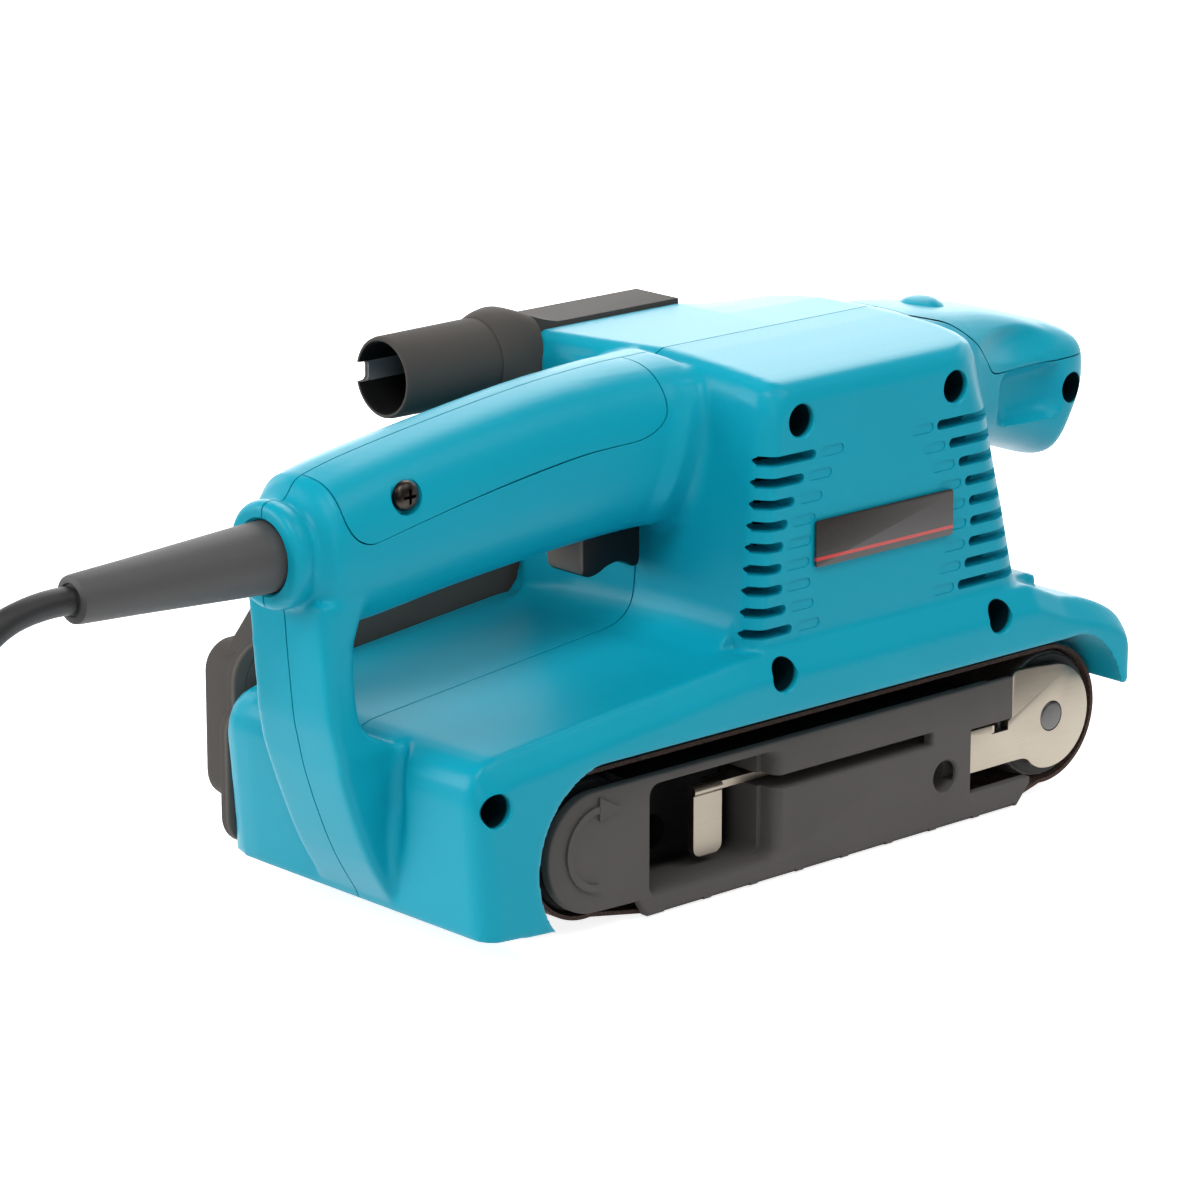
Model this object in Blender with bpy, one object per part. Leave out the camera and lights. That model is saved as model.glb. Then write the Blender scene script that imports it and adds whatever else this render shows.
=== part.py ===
"""Handheld belt sander: moulded housing, belt unit, motor, drive and mains lead.

+X points to the front grip, +Y to the tool's left and +Z up. The origin is the middle of the
sanding sole on the work surface. Sizes are in millimetres and become metres in solid().
"""
import bmesh
import bpy
from math import acos, atan2, cos, hypot, pi, radians, sin
from mathutils import Vector

for old in list(bpy.data.objects):
    bpy.data.objects.remove(old, do_unlink=True)

MM = 0.001

# Clearances
GAP = 0.3                 # between pieces that touch or turn in each other
EDGE_GAP = 0.8            # belt edge to the frame's right wall
SIDE_GAP = 4.4            # belt edge to the housing's left wall

# Sanding belt and rollers
BELT_WIDTH = 76.0
BELT_LENGTH = 457.0
BELT_THICK = 1.1
BELT_MID_Y = -0.4         # the belt runs a little right of the seam
ROLLER_R = 18.0
ROLLER_MID_X = -3.0       # halfway between the two roller axes
SOLE_HALF = 66.0          # half the length of the flat run
SOLE_DROP = 3.5           # sole below the underside of the rollers
SOLE_PLATE = 1.0
SOLE_PAD = 2.5

# Belt frame, the dark moulding inside the belt
FRAME_WALL = 3.2
FRAME_SKIN = 1.4          # wall left over the sliding arm
FRAME_DROP = 3.9          # frame's top below the belt
FRAME_LIP = 0.8           # lower edge beside the belt, above the work
CAP_R = 14.6              # round ends of the frame and of the arm
FRAME_FRONT = 64.6
NOTCH_X = 48.6
NOTCH_LOW = 8.0
NOTCH_HIGH = 26.0
ARM_THICK = 1.8
ARM_LOW = 13.0
ARM_HIGH = 25.0
ARM_TRAVEL = 8.0          # how far the front roller draws back
ARM_HEAD_X = 65.8
WINDOW_REAR = -68.2
WINDOW_FRONT = -23.8
WINDOW_LOW = 6.1
WINDOW_RIM = 2.5          # frame left above the window
WINDOW_DEPTH = 21.0
SLOT_FRONT = 33.7
SLOT_LOW = 24.6
SLOT_HIGH = 28.2
LEVER_X = 38.0            # upright pivot of the tension lever
LEVER_IN = 12.4           # pivot behind the frame's right face
LEVER_WIDTH = 6.0
LEVER_SHEET = 2.0
TAB_FRONT = -35.0
TAB_REAR = -45.0
TAB_LOW = 8.6
PEEP_X = 38.8             # round hole in the frame's right wall
PEEP_Z = 15.0
PEEP_R = 4.4
ROD_R = 3.0
SPRING_R = 5.5
SPRING_WIRE = 0.9
SPRING_TURNS = 5

# Housing
SKIRT_OUT = 7.6           # skirt outside the frame's right face
LEFT_WALL = 10.0
SKIRT_LOW = 47.5          # lower edge of the skirt between the arches
ARCH_R = 25.0             # rear arch round the drive roller
SHELF_IN = 4.0            # sloping shelf above the skirt
SHELF_DROP = 6.5
BASE_FOOT = 9.0
BASE_REAR_OUT = 45.4      # base behind the drive roller's axis
HANDLE_REAR_OUT = 43.4    # rear bend of the handle behind the same axis
BASE_FRONT_OUT = 23.4     # base in front of the front roller's axis
FRONT_WALL = 3.6
FRONT_WALL_LOW = 30.0
DECK_REAR_Z = 54.6
DECK_FRONT_Z = 63.8
MOTOR_X = 15.0
MOTOR_Z = 97.0
MOTOR_REAR_OUT = 49.0     # motor block behind the motor's axis, at the top
MOTOR_FRONT_OUT = 40.5    # motor block in front of the axis, at the top
MOTOR_TOP = 135.0
MOTOR_SIDE_IN = 5.0       # motor block's right face inside the skirt's
CORNER_CUT = 5.5          # flat across the block's rear right corner
DUST_DEPTH = 19.0         # dust housing beside the motor block
POST_HALF = 15.0
COLLAR_OUT = 71.0         # collar's rear end behind the drive roller's axis
GUARD_Z = 103.0
GUARD_R = 9.0
GUARD_TIP_R = 6.0
GUARD_OUT = 58.0
CORD_R = 3.5
NOSE_X = 119.0
CAP_SEAM_Z = 115.3

# Vents
VENTS = 9
VENT_PITCH = 5.59
VENT_LOW = 67.0
VENT_HIGH = 2.7
VENT_MID = 3.6            # row where the slots are shortest

# Motor and drive
STATOR_R = 31.7
STATOR_BORE = 19.6
STATOR_HALF = 18.0
ROTOR_R = 18.9
ROTOR_SLOTS = 12
SHAFT_R = 4.0
BEARING_R = 8.0
BEARING_WIDE = 6.0
END_WALL = 9.0            # motor block's right wall with its bearing seat
COMM_R = 11.0
COMM_LONG = 12.5
BRUSH_WIDE = 6.0
FAN_R = 33.0
FAN_BLADES = 9
MOTOR_PULLEY_R = 5.0
ROLLER_PULLEY_R = 14.0
PULLEY_WIDE = 10.0
RIB_PITCH = 2.34
RIB_DEEP = 1.3
RIBS = 3
BAND_THICK = 1.5

# Dust outlet
NOZZLE_Y = 44.5
NOZZLE_Z = 128.3
NOZZLE_R = 10.75
NOZZLE_WALL = 1.5
NOZZLE_MOUTH = -83.0
NOZZLE_JOINT = -47.0
SOCKET_WALL = 2.0

# Switch
TRIGGER_HALF = 6.5
TRIGGER_REAR = -60.4
TRIGGER_FRONT = -39.2
TRIGGER_TRAVEL = 4.0
SWITCH_LOW = 101.0
SWITCH_HIGH = 114.0
SWITCH_HALF = 9.5
LOCK_X = -60.0
LOCK_Z = 106.0
LOCK_R = 4.2
LOCK_TRAVEL = 2.0

# Fasteners
SCREW_HEAD_R = 3.9
SCREW_SHANK_R = 1.9
SCREW_SINK = 22.0         # depth of the recess above a screw's head
RECESS_R = 4.4
TRACK_X = 58.0            # belt tracking knob
TRACK_Z = 19.0
TRACK_R = 8.0

# Mains lead
COIL_LAYERS = 2
COIL_TURNS = 3.0          # turns in each layer
COIL_POINTS = 24
COIL_STEP = 7.8           # from turn to turn and from layer to layer
COIL_R = 30.2             # innermost turn
COIL_BULGE = 2.2          # how far the climbing turn stands off the turns beside it
COIL_BEHIND = 88.4        # middle of the coil behind the guard's tip
COIL_TAIL = 37.0          # straight run from the coil to the plug
COIL_LOW = 5.2            # middle of the lowest turns above the floor
TIE_THICK = 0.8
TIE_WIDE = 6.0
PLUG_LONG = 36.0
PIN_R = 2.4
PIN_LONG = 19.0
PIN_APART = 19.0

# Places worked out from the sizes above
BELT_IN_R = ROLLER_R + GAP
BELT_OUT_R = BELT_IN_R + BELT_THICK
AXLE_SPAN = (BELT_LENGTH - 2 * pi * (BELT_IN_R + BELT_THICK / 2)) / 2
FRONT_X = ROLLER_MID_X + AXLE_SPAN / 2
REAR_X = ROLLER_MID_X - AXLE_SPAN / 2
AXLE_Z = SOLE_DROP + BELT_OUT_R
FRAME_TOP = AXLE_Z + BELT_IN_R - FRAME_DROP
WINDOW_HIGH = FRAME_TOP - WINDOW_RIM
BELT_RIGHT = BELT_MID_Y - BELT_WIDTH / 2
BELT_LEFT = BELT_MID_Y + BELT_WIDTH / 2
FRAME_IN = BELT_RIGHT - EDGE_GAP
FRAME_OUT = FRAME_IN - FRAME_WALL
SKIRT_RIGHT = FRAME_OUT - SKIRT_OUT
LEFT_WALL_IN = BELT_LEFT + SIDE_GAP
LEFT_SIDE = LEFT_WALL_IN + LEFT_WALL
MOTOR_RIGHT = SKIRT_RIGHT + MOTOR_SIDE_IN
MOTOR_LEFT = LEFT_SIDE - DUST_DEPTH - GAP
BASE_REAR = REAR_X - BASE_REAR_OUT
BASE_FRONT = FRONT_X + BASE_FRONT_OUT
HANDLE_REAR = REAR_X - HANDLE_REAR_OUT
COLLAR_REAR = REAR_X - COLLAR_OUT
COVER_IN = LEFT_SIDE + GAP
ARM_OUT = FRAME_OUT + FRAME_SKIN + GAP
ARM_IN = ARM_OUT + ARM_THICK
LEVER_Y = FRAME_OUT + LEVER_IN


def colour(name, red, green, blue, roughness, metallic=0.0):
    look = bpy.data.materials.new(name)
    look.use_nodes = True
    shader = look.node_tree.nodes["Principled BSDF"]
    shader.inputs["Base Color"].default_value = (red, green, blue, 1.0)
    shader.inputs["Roughness"].default_value = roughness
    shader.inputs["Metallic"].default_value = metallic
    return look


TEAL = colour("teal_moulding", 0.012, 0.33, 0.45, 0.38)
CHARCOAL = colour("charcoal_moulding", 0.09, 0.085, 0.08, 0.5)
BLACK = colour("black_moulding", 0.012, 0.012, 0.014, 0.45)
STEEL = colour("plain_steel", 0.46, 0.42, 0.38, 0.35, 1.0)
DARK_STEEL = colour("blackened_steel", 0.06, 0.05, 0.045, 0.4, 1.0)
ALUMINIUM = colour("aluminium", 0.62, 0.62, 0.62, 0.35, 1.0)
COPPER = colour("copper", 0.7, 0.33, 0.18, 0.35, 1.0)
LAMINATE = colour("iron_laminations", 0.25, 0.25, 0.26, 0.5, 0.8)
CARBON = colour("carbon", 0.03, 0.03, 0.03, 0.7)
RUBBER = colour("black_rubber", 0.03, 0.03, 0.03, 0.75)
GUARD = colour("grey_rubber", 0.085, 0.08, 0.08, 0.6)
GRIT = colour("abrasive_cloth", 0.16, 0.07, 0.04, 0.9)
CORK = colour("cork", 0.35, 0.22, 0.12, 0.9)
BRASS = colour("brass", 0.66, 0.5, 0.2, 0.3, 1.0)
LABEL = colour("plain_label", 0.03, 0.025, 0.022, 0.35)


# Mesh tools

def solid(bm, name="tool"):
    """A mesh in millimetres becomes an object in metres, with its faces pointing out."""
    bmesh.ops.recalc_face_normals(bm, faces=bm.faces)
    bmesh.ops.scale(bm, vec=(MM, MM, MM), verts=bm.verts)
    mesh = bpy.data.meshes.new(name)
    bm.to_mesh(mesh)
    bm.free()
    made = bpy.data.objects.new(name, mesh)
    bpy.context.scene.collection.objects.link(made)
    return made


def loft(rings):
    """A closed solid through rings of equal point counts."""
    bm = bmesh.new()
    loops = [[bm.verts.new(point) for point in ring] for ring in rings]
    count = len(rings[0])
    for first, second in zip(loops, loops[1:]):
        for i in range(count):
            j = (i + 1) % count
            bm.faces.new((first[i], first[j], second[j], second[i]))
    bm.faces.new(loops[0])
    bm.faces.new(loops[-1])
    return solid(bm)


def upright(outline, y):
    """A side view outline of (x, z) points, placed at y."""
    return [(x, y, z) for x, z in outline]


def prism(outline, low, high, axis="Y"):
    """An outline pushed from low to high along Y, Z or X."""
    place = {
        "Y": lambda a, b, c: (a, c, b),
        "Z": lambda a, b, c: (a, b, c),
        "X": lambda a, b, c: (c, a, b),
    }[axis]
    return loft([[place(a, b, c) for a, b in outline] for c in (low, high)])


def block(x0, x1, y0, y1, z0, z1):
    return prism([(x0, z0), (x1, z0), (x1, z1), (x0, z1)], y0, y1)


def arc(x, z, radius, start, end, steps, flat=None):
    """Points on an arc, in degrees; flat is the second radius of an ellipse."""
    turns = [radians(start + (end - start) * i / steps) for i in range(steps + 1)]
    return [(x + radius * cos(t), z + (flat or radius) * sin(t)) for t in turns]


def rounded(x0, x1, z0, z1, radius, steps=3):
    """A rectangle with round corners."""
    corners = [(x1, z0, -90), (x1, z1, 0), (x0, z1, 90), (x0, z0, 180)]
    points = []
    for x, z, start in corners:
        mid_x = x - radius if x == x1 else x + radius
        mid_z = z - radius if z == z1 else z + radius
        points += arc(mid_x, mid_z, radius, start, start + 90, steps)
    return points


def turned(profile, axis, centre, sides=20):
    """A profile of (radius, along) points turned about an axis through centre.

    A profile that starts and ends on the axis makes a full solid, any other one a ring.
    """
    place = {
        "X": lambda r, a: (a, centre[1], centre[2] + r),
        "Y": lambda r, a: (centre[0], a, centre[2] + r),
        "Z": lambda r, a: (centre[0] + r, centre[1], a),
    }[axis]
    bm = bmesh.new()
    points = [bm.verts.new(place(r, a)) for r, a in profile]
    for first, second in zip(points, points[1:]):
        bm.edges.new((first, second))
    if profile[0][0] > 0:
        bm.edges.new((points[-1], points[0]))
    way = {"X": (1, 0, 0), "Y": (0, 1, 0), "Z": (0, 0, 1)}[axis]
    bmesh.ops.spin(bm, geom=bm.verts[:] + bm.edges[:], cent=centre, axis=way,
                   angle=2 * pi, steps=sides, use_merge=True)
    bmesh.ops.remove_doubles(bm, verts=bm.verts, dist=0.0001)
    return solid(bm)


def rod(axis, centre, radius, low, high, sides=20):
    return turned([(0, high), (radius, high), (radius, low), (0, low)], axis, centre, sides)


def ring(axis, centre, inner, outer, low, high, sides=20):
    return turned([(inner, low), (inner, high), (outer, high), (outer, low)], axis, centre, sides)


def is_closed(mesh):
    bm = bmesh.new()
    bm.from_mesh(mesh)
    closed = all(len(edge.link_faces) == 2 for edge in bm.edges)
    bm.free()
    return closed


def combine(target, tool, operation):
    """Joins or cuts at once. The second solver is for the few cuts that the first leaves open."""
    bm = bmesh.new()
    bm.from_mesh(target.data)
    bmesh.ops.triangulate(bm, faces=bm.faces)
    bm.to_mesh(target.data)
    bm.free()
    change = target.modifiers.new(operation.lower(), "BOOLEAN")
    change.operation = operation
    change.object = tool
    for solver in ("EXACT", "MANIFOLD"):
        change.solver = solver
        bpy.context.view_layer.update()
        seen = target.evaluated_get(bpy.context.evaluated_depsgraph_get())
        made = bpy.data.meshes.new_from_object(seen)
        if is_closed(made):
            break
    target.modifiers.clear()
    target.data = made
    bpy.data.objects.remove(tool, do_unlink=True)
    return target


def join(target, *tools):
    for tool in tools:
        combine(target, tool, "UNION")
    return target


def cut(target, *tools):
    for tool in tools:
        combine(target, tool, "DIFFERENCE")
    return target


def keep(target, tool):
    return combine(target, tool, "INTERSECT")


def axis_empty(name, place, parent=None):
    """An empty on a joint's axis, which carries the pieces that move on it."""
    made = bpy.data.objects.new(name, None)
    bpy.context.scene.collection.objects.link(made)
    made["place"] = place
    made.location = Vector(place) * MM
    if parent:
        made.parent = parent
        made.location = (Vector(place) - Vector(parent["place"])) * MM
    return made


SANDER = axis_empty("sander", (0.0, 0.0, 0.0))


def piece(made, name, look, parent=SANDER):
    """Names a finished solid, gives it its colour and hangs it on its axis empty."""
    made.name = name
    made.data.name = name
    made.data.materials.clear()
    made.data.materials.append(look)
    place = Vector(parent["place"]) * MM
    for vertex in made.data.vertices:
        vertex.co -= place
    made.parent = parent
    made.data.shade_smooth()
    made.data.set_sharp_from_angle(angle=radians(32))
    return made


# Housing forms

def base_outline(drop=0.0, rear_in=0.0, front_in=0.0):
    """Side view of the base: foot, rear arch, skirt edge, front arch, nose and deck."""
    rear = BASE_REAR + rear_in
    front = BASE_FRONT - front_in
    flank = 90 + (180 / pi) * acos(min(1.0, (SKIRT_LOW - AXLE_Z) / ARCH_R))
    low_arch = arc(REAR_X, AXLE_Z, ARCH_R, 219, flank, 7)
    front_arch = arc(FRONT_X, AXLE_Z, front - FRONT_WALL - FRONT_X, 98, 17, 6,
                     flat=SKIRT_LOW - AXLE_Z + 0.3)
    nose = [(front, FRONT_WALL_LOW), (front, 41.0), (front - 0.8, 45.0 - 0.3 * drop),
            (front - 3.8, 49.3 - 0.6 * drop), (front - 9.5, 53.0 - 0.8 * drop),
            (front - 17.5, 56.3 - drop), (FRONT_X - 3.6, 58.5 - drop), (MOTOR_X + 51, 63.8 - drop)]
    deck = [(MOTOR_X - 56.9, DECK_FRONT_Z - drop), (rear + 5.0, DECK_REAR_Z - drop),
            (rear, DECK_REAR_Z - 5.1 - drop)]
    return [(rear + 3.0, BASE_FOOT)] + low_arch + front_arch + nose + deck


def right_base():
    sections = [(SKIRT_RIGHT, SHELF_DROP, 2.0, 8.0), (SKIRT_RIGHT + SHELF_IN / 2, SHELF_DROP / 2, 0.6, 2.7),
                (SKIRT_RIGHT + SHELF_IN, 0, 0, 1.0), (SKIRT_RIGHT + 2 * SHELF_IN, 0, 0, 0), (1.0, 0, 0, 0)]
    return loft([upright(base_outline(d, r, f), y) for y, d, r, f in sections])


def left_base():
    """The left half of the base, whose side wall closes the belt's left edge."""
    sections = [(-1.0, 0, 0, 0), (LEFT_SIDE - 6, 0, 0, 0), (LEFT_SIDE - 2.5, 1.5, 1.0, 1.5),
                (LEFT_SIDE, 4.5, 4.0, 5.0)]
    made = loft([upright(base_outline(d, r, f), y) for y, d, r, f in sections])
    wall = [(BASE_REAR + 5, BASE_FOOT), (REAR_X - 19.0, 7.6), (FRONT_X - 22, 7.6), (FRONT_X, 9.5),
            (FRONT_X + 12, 17.0), (BASE_FRONT - 6, FRONT_WALL_LOW), (BASE_FRONT - 6, 42.0),
            (FRONT_X, 49.5), (REAR_X, 49.5), (BASE_REAR + 5, 44.0)]
    return join(made, prism(wall, LEFT_WALL_IN, LEFT_SIDE - 0.4))


def motor_outline(top, rear_in, front_in):
    """Side view of the motor block, which widens a little towards its foot."""
    rear = MOTOR_X - MOTOR_REAR_OUT + rear_in
    front = MOTOR_X + MOTOR_FRONT_OUT - front_in
    return [(rear - 5.2, 58.0), (rear - 4.8, 68.4), (rear, 117.0), (rear + 1.4, top - 3.4),
            (rear + 5.0, top), (front - 5.0, top), (front - 1.0, top - 3.0), (front + 2.6, 101.6),
            (front + 6.8, 86.3), (front + 11.2, 68.9), (front + 14.5, 58.0)]


def right_motor():
    sections = [(MOTOR_RIGHT, 127.0, CORNER_CUT, 6.0), (MOTOR_RIGHT + 1.0, 129.6, CORNER_CUT - 1.0, 3.4),
                (MOTOR_RIGHT + 3.2, 131.3, CORNER_CUT - 3.2, 1.0), (MOTOR_RIGHT + CORNER_CUT, 131.8, 0, 0),
                (MOTOR_RIGHT + 24, 134.1, 0, 0), (1.0, MOTOR_TOP, 0, 0)]
    return loft([upright(motor_outline(t, r, f), y) for y, t, r, f in sections])


def left_motor():
    sections = [(-1.0, MOTOR_TOP, 0, 0), (MOTOR_LEFT - 14, MOTOR_TOP, -4.6, 0),
                (MOTOR_LEFT - 1.6, MOTOR_TOP, -5.0, 0.6),
                (MOTOR_LEFT, MOTOR_TOP - 1.4, -3.6, 2.4)]
    return loft([upright(motor_outline(t, r, f), y) for y, t, r, f in sections])


def oval(x, low, high, half, power=2.7, count=18):
    """A rounded cross-section of the handle or grip at x."""
    points = []
    for i in range(count):
        turn = 2 * pi * i / count
        across, up = cos(turn), sin(turn)
        size = (abs(across) ** power + abs(up) ** power) ** (-1 / power)
        points.append((x, half * across * size, (low + high) / 2 + (high - low) / 2 * up * size))
    return points


def handle():
    """The rear handle, from the motor block back to the post, swelling round the switch."""
    front, rear = MOTOR_X - 45.0, HANDLE_REAR
    stations = [(front, 90.0, 134.8, 23.0), (front - 8, 90.5, 134.7, 19.5), (front - 20, 90.6, 134.5, 18.3),
                (front - 44, 89.4, 132.8, 17.6), (rear + 24, 86.4, 128.6, 17.0),
                (rear - 3, 83.2, 124.3, 17.0),
                (rear - 16, 84.0, 121.3, 16.8)]
    return loft([oval(*station) for station in stations])


def collar():
    """The swelling at the handle's rear end round the cord guard."""
    stations = [(COLLAR_REAR + 18, 20.0, 17.0), (COLLAR_REAR + 11, 17.9, 16.8),
                (COLLAR_REAR + 7.6, 15.6, 15.2),
                (COLLAR_REAR + 4.6, 13.8, 13.6), (COLLAR_REAR, 13.0, 13.0)]
    return loft([oval(x, GUARD_Z - tall, GUARD_Z + tall, half, 2.2) for x, tall, half in stations])


def post():
    """The upright band that ties the handle to the base and runs down the rear face."""
    stations = [(BASE_FOOT, 2.0, 16.0, 0.0), (22.6, -6.2, 16.0, 0.0), (36.3, -12.0, 13.0, 0.0),
                (47.0, -15.6, 11.0, 0.5), (52.0, -16.8, 3.0, 3.0), (56.0, -17.7, -5.5, 1.6),
                (61.0, -18.7, -9.3, 0.4), (70.0, -19.6, -10.5, 0.0), (80.0, -20.5, -10.5, 0.3),
                (92.0, -21.3, -7.0, 1.2)]
    rings = []
    for z, rear, front, flare in stations:
        half = POST_HALF + flare
        outline = rounded(HANDLE_REAR + rear, HANDLE_REAR + front, -half, half, 2.5, 2)
        rings.append([(x, y, z) for x, y in outline])
    return loft(rings)


def grip():
    """The front grip with its finger hollow below and its round nose."""
    root = MOTOR_X + 37.0
    stations = [(root, 92.0, 134.3, 27.0), (root + 10, 93.6, 133.6, 25.5), (root + 20, 94.0, 132.4, 23.0),
                (NOSE_X - 35, 92.6, 130.6, 21.0), (NOSE_X - 24, 89.8, 128.0, 20.5),
                (NOSE_X - 15, 86.6, 125.2, 20.5),
                (NOSE_X - 8, 88.6, 122.6, 20.0), (NOSE_X - 3, 94.6, 120.0, 17.0),
                (NOSE_X, 101.0, 116.6, 10.0)]
    return loft([oval(*station) for station in stations])


def grip_seam(shrink=0.0):
    """Side view of what the grip cap takes from the top of the grip."""
    root = MOTOR_X + 38.0
    return [(root + shrink, 150.0), (root + shrink, 133.6 + shrink), (root + 11, 128.6 + shrink),
            (root + 19, 122.3 + shrink), (root + 27.4 + shrink, CAP_SEAM_Z + shrink),
            (NOSE_X + 8, CAP_SEAM_Z + shrink), (NOSE_X + 8, 150.0)]


def cover_seam(shrink=0.0):
    """Side view of what the handle cover takes from the right of the handle."""
    front, rear = MOTOR_X - 56.0, HANDLE_REAR
    low = [(rear - 15.0, 121.0), (rear - 14.0, 111.0), (rear - 9.4, 105.8), (rear - 4.6, 105.0),
           (rear + 34.3, 109.3), (front - 8.3, 115.3), (front - 1.4, 118.8), (front + 1.0, 124.2),
           (front, 130.4), (front - 1.5, 150.0), (rear - 15.0, 150.0)]
    middle = Vector(((front + rear) / 2, 135.0))
    return [tuple(Vector(p) + (middle - Vector(p)).normalized() * shrink) for p in low]


SCREW_PLACES = [(BASE_REAR + 6.4, 42.9), (MOTOR_X - 43.6, 58.0), (MOTOR_X + 36.5, 58.2),
                (MOTOR_X - 34.0, 122.4), (MOTOR_X + 22.4, 122.4), (NOSE_X - 9.0, 106.5)]


def screw_face(place):
    """Where a screw's recess opens on the right: skirt, motor block or grip."""
    x, z = place
    if x > NOSE_X - 20:
        return -20.5
    return MOTOR_RIGHT if z > 70 else SKIRT_RIGHT


def seat_depth(place):
    return screw_face(place) + (SCREW_SINK if screw_face(place) < -30 else 10.0)


def vent_slots():
    """Slots round the block's rear right corner and its front right edge, shorter in the middle."""
    slots = []
    for row in range(VENTS):
        z = VENT_LOW + VENT_PITCH * row
        bow = 0.5 * (row - VENT_MID) ** 2
        rear_end, front_end = MOTOR_X - 37.4 + 1.2 * bow, MOTOR_X + 28.5 - 1.25 * bow
        for x0, x1 in ((MOTOR_X - 58, rear_end), (front_end, MOTOR_X + 54)):
            slots.append(block(x0, x1, MOTOR_RIGHT - 2, MOTOR_RIGHT + END_WALL + 1, z, z + VENT_HIGH))
    return slots


def motor_room():
    """Air space round the commutator, the seat of the stator and the two bearing seats."""
    wall = MOTOR_RIGHT + END_WALL
    room = block(MOTOR_X - 46, MOTOR_X + 39, wall, -STATOR_HALF - 1, 66.2, 117.0)
    axis = (MOTOR_X, 0, MOTOR_Z)
    seat = rod("Y", axis, STATOR_R + 2 * GAP, -STATOR_HALF - 2, STATOR_HALF + 6, 32)
    right_bearing = rod("Y", axis, BEARING_R + GAP, wall - BEARING_WIDE - 2 * GAP, wall + 1)
    left_bearing = rod("Y", axis, BEARING_R + GAP, STATOR_HALF + 5,
                       STATOR_HALF + 6 + BEARING_WIDE + 2 * GAP)
    shaft = rod("Y", axis, SHAFT_R + 1, STATOR_HALF + 5, MOTOR_LEFT + 2)
    return [room, seat, right_bearing, left_bearing, shaft]


def switch_room():
    front = MOTOR_X - 53.0
    room = block(front - 37, front, -SWITCH_HALF - GAP, SWITCH_HALF + GAP, 92.0, SWITCH_HIGH + GAP)
    slot = block(TRIGGER_REAR - 1, TRIGGER_FRONT + 2 * GAP, -TRIGGER_HALF - GAP, TRIGGER_HALF + GAP,
                 76.0, 93.0)
    return [room, slot]


def screw_holes(left):
    holes = []
    for place in SCREW_PLACES:
        centre = (place[0], 0, place[1])
        if left:
            holes.append(rod("Y", centre, SCREW_SHANK_R + GAP, -1, 14.0, 8))
        else:
            holes.append(rod("Y", centre, RECESS_R, -70, seat_depth(place), 14))
            holes.append(rod("Y", centre, SCREW_SHANK_R + GAP, seat_depth(place) - 1, 1, 8))
    return holes


def half_space(side):
    y0, y1 = (-200, -GAP / 2) if side < 0 else (GAP / 2, 200)
    return block(-300, 300, y0, y1, -50, 300)


def guard_hole():
    return turned([(0, COLLAR_REAR + 16), (GUARD_R + 3.5 + GAP, COLLAR_REAR + 16),
                   (GUARD_R + 3.5 + GAP, COLLAR_REAR + 8),
                   (GUARD_R + GAP, COLLAR_REAR + 8), (GUARD_R + GAP, COLLAR_REAR - 4),
                   (0, COLLAR_REAR - 4)],
                  "X", (0, 0, GUARD_Z))


def housing_right():
    made = join(right_base(), right_motor(), handle(), collar(), post(), grip())
    made = keep(made, half_space(-1))
    cut(made, prism(grip_seam(), -60, 60), prism(cover_seam(), -60, 5), guard_hole())
    cut(made, *motor_room(), *switch_room(), *vent_slots(), *screw_holes(left=False))
    return piece(made, "housing_right", TEAL)


def housing_left():
    made = join(left_base(), left_motor(), handle(), collar(), post(), grip())
    made = keep(made, half_space(1))
    cut(made, prism(grip_seam(), -60, 60), guard_hole(), *motor_room(), *switch_room(),
        *screw_holes(left=True))
    cut(made, rod("Y", (LOCK_X, 0, LOCK_Z), LOCK_R + GAP, 5, 40, 20))
    axle = (REAR_X, 0, AXLE_Z)
    cut(made, rod("Y", axle, 11 + GAP, LEFT_WALL_IN - 2, LEFT_WALL_IN + 7),
        rod("Y", axle, SHAFT_R + 1, LEFT_WALL_IN - 2, LEFT_SIDE + 8))
    cut(made, rod("Y", (TRACK_X, 0, TRACK_Z), 2.5 + GAP, LEFT_WALL_IN - 2, LEFT_SIDE + 8, 16))
    cut(made, rod("Y", (MOTOR_X, 0, MOTOR_Z), FAN_R + 6 + GAP, MOTOR_LEFT, LEFT_SIDE + 5, 32))
    way = (0, NOZZLE_Y, NOZZLE_Z)
    cut(made, rod("X", way, NOZZLE_R + SOCKET_WALL + GAP, NOZZLE_JOINT - 8, -20))
    for x, z in COVER_SCREWS:
        cut(made, rod("Y", (x, 0, z), SCREW_SHANK_R + GAP, LEFT_SIDE - 7 - GAP, 70, 12))
    return piece(made, "housing_left", TEAL)


def handle_cover():
    """Cover over the switch wiring on the right of the handle, held by one screw."""
    made = keep(handle(), half_space(-1))
    keep(made, prism(cover_seam(GAP), -60, 5))
    x, z = COVER_SCREW
    cut(made, guard_hole(), *switch_room())
    cut(made, rod("Y", (x, 0, z), RECESS_R + 0.6, -40, -14.5, 18),
        rod("Y", (x, 0, z), SCREW_SHANK_R + GAP, -40, 1, 12))
    return piece(made, "handle_cover", TEAL)


COVER_SCREW = (HANDLE_REAR + 5.1, 115.7)


def grip_cap():
    """Top of the front grip with a small round bump behind it."""
    made = keep(grip(), prism(grip_seam(GAP), -60, 60))
    bump = turned([(0, 135.0), (3.6, 134.4), (6.2, 132.9), (7.4, 131.4), (7.4, 130.9), (0, 130.9)],
                  "Z", (MOTOR_X + 54.7, 0, 0), 20)
    return piece(join(made, bump), "grip_cap", TEAL)


def name_plate():
    made = prism(rounded(MOTOR_X - 29.6, MOTOR_X + 21, 83.1, 95.5, 1.0, 2), MOTOR_RIGHT - 1.1,
                 MOTOR_RIGHT - GAP)
    return piece(made, "name_plate", LABEL)


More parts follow.
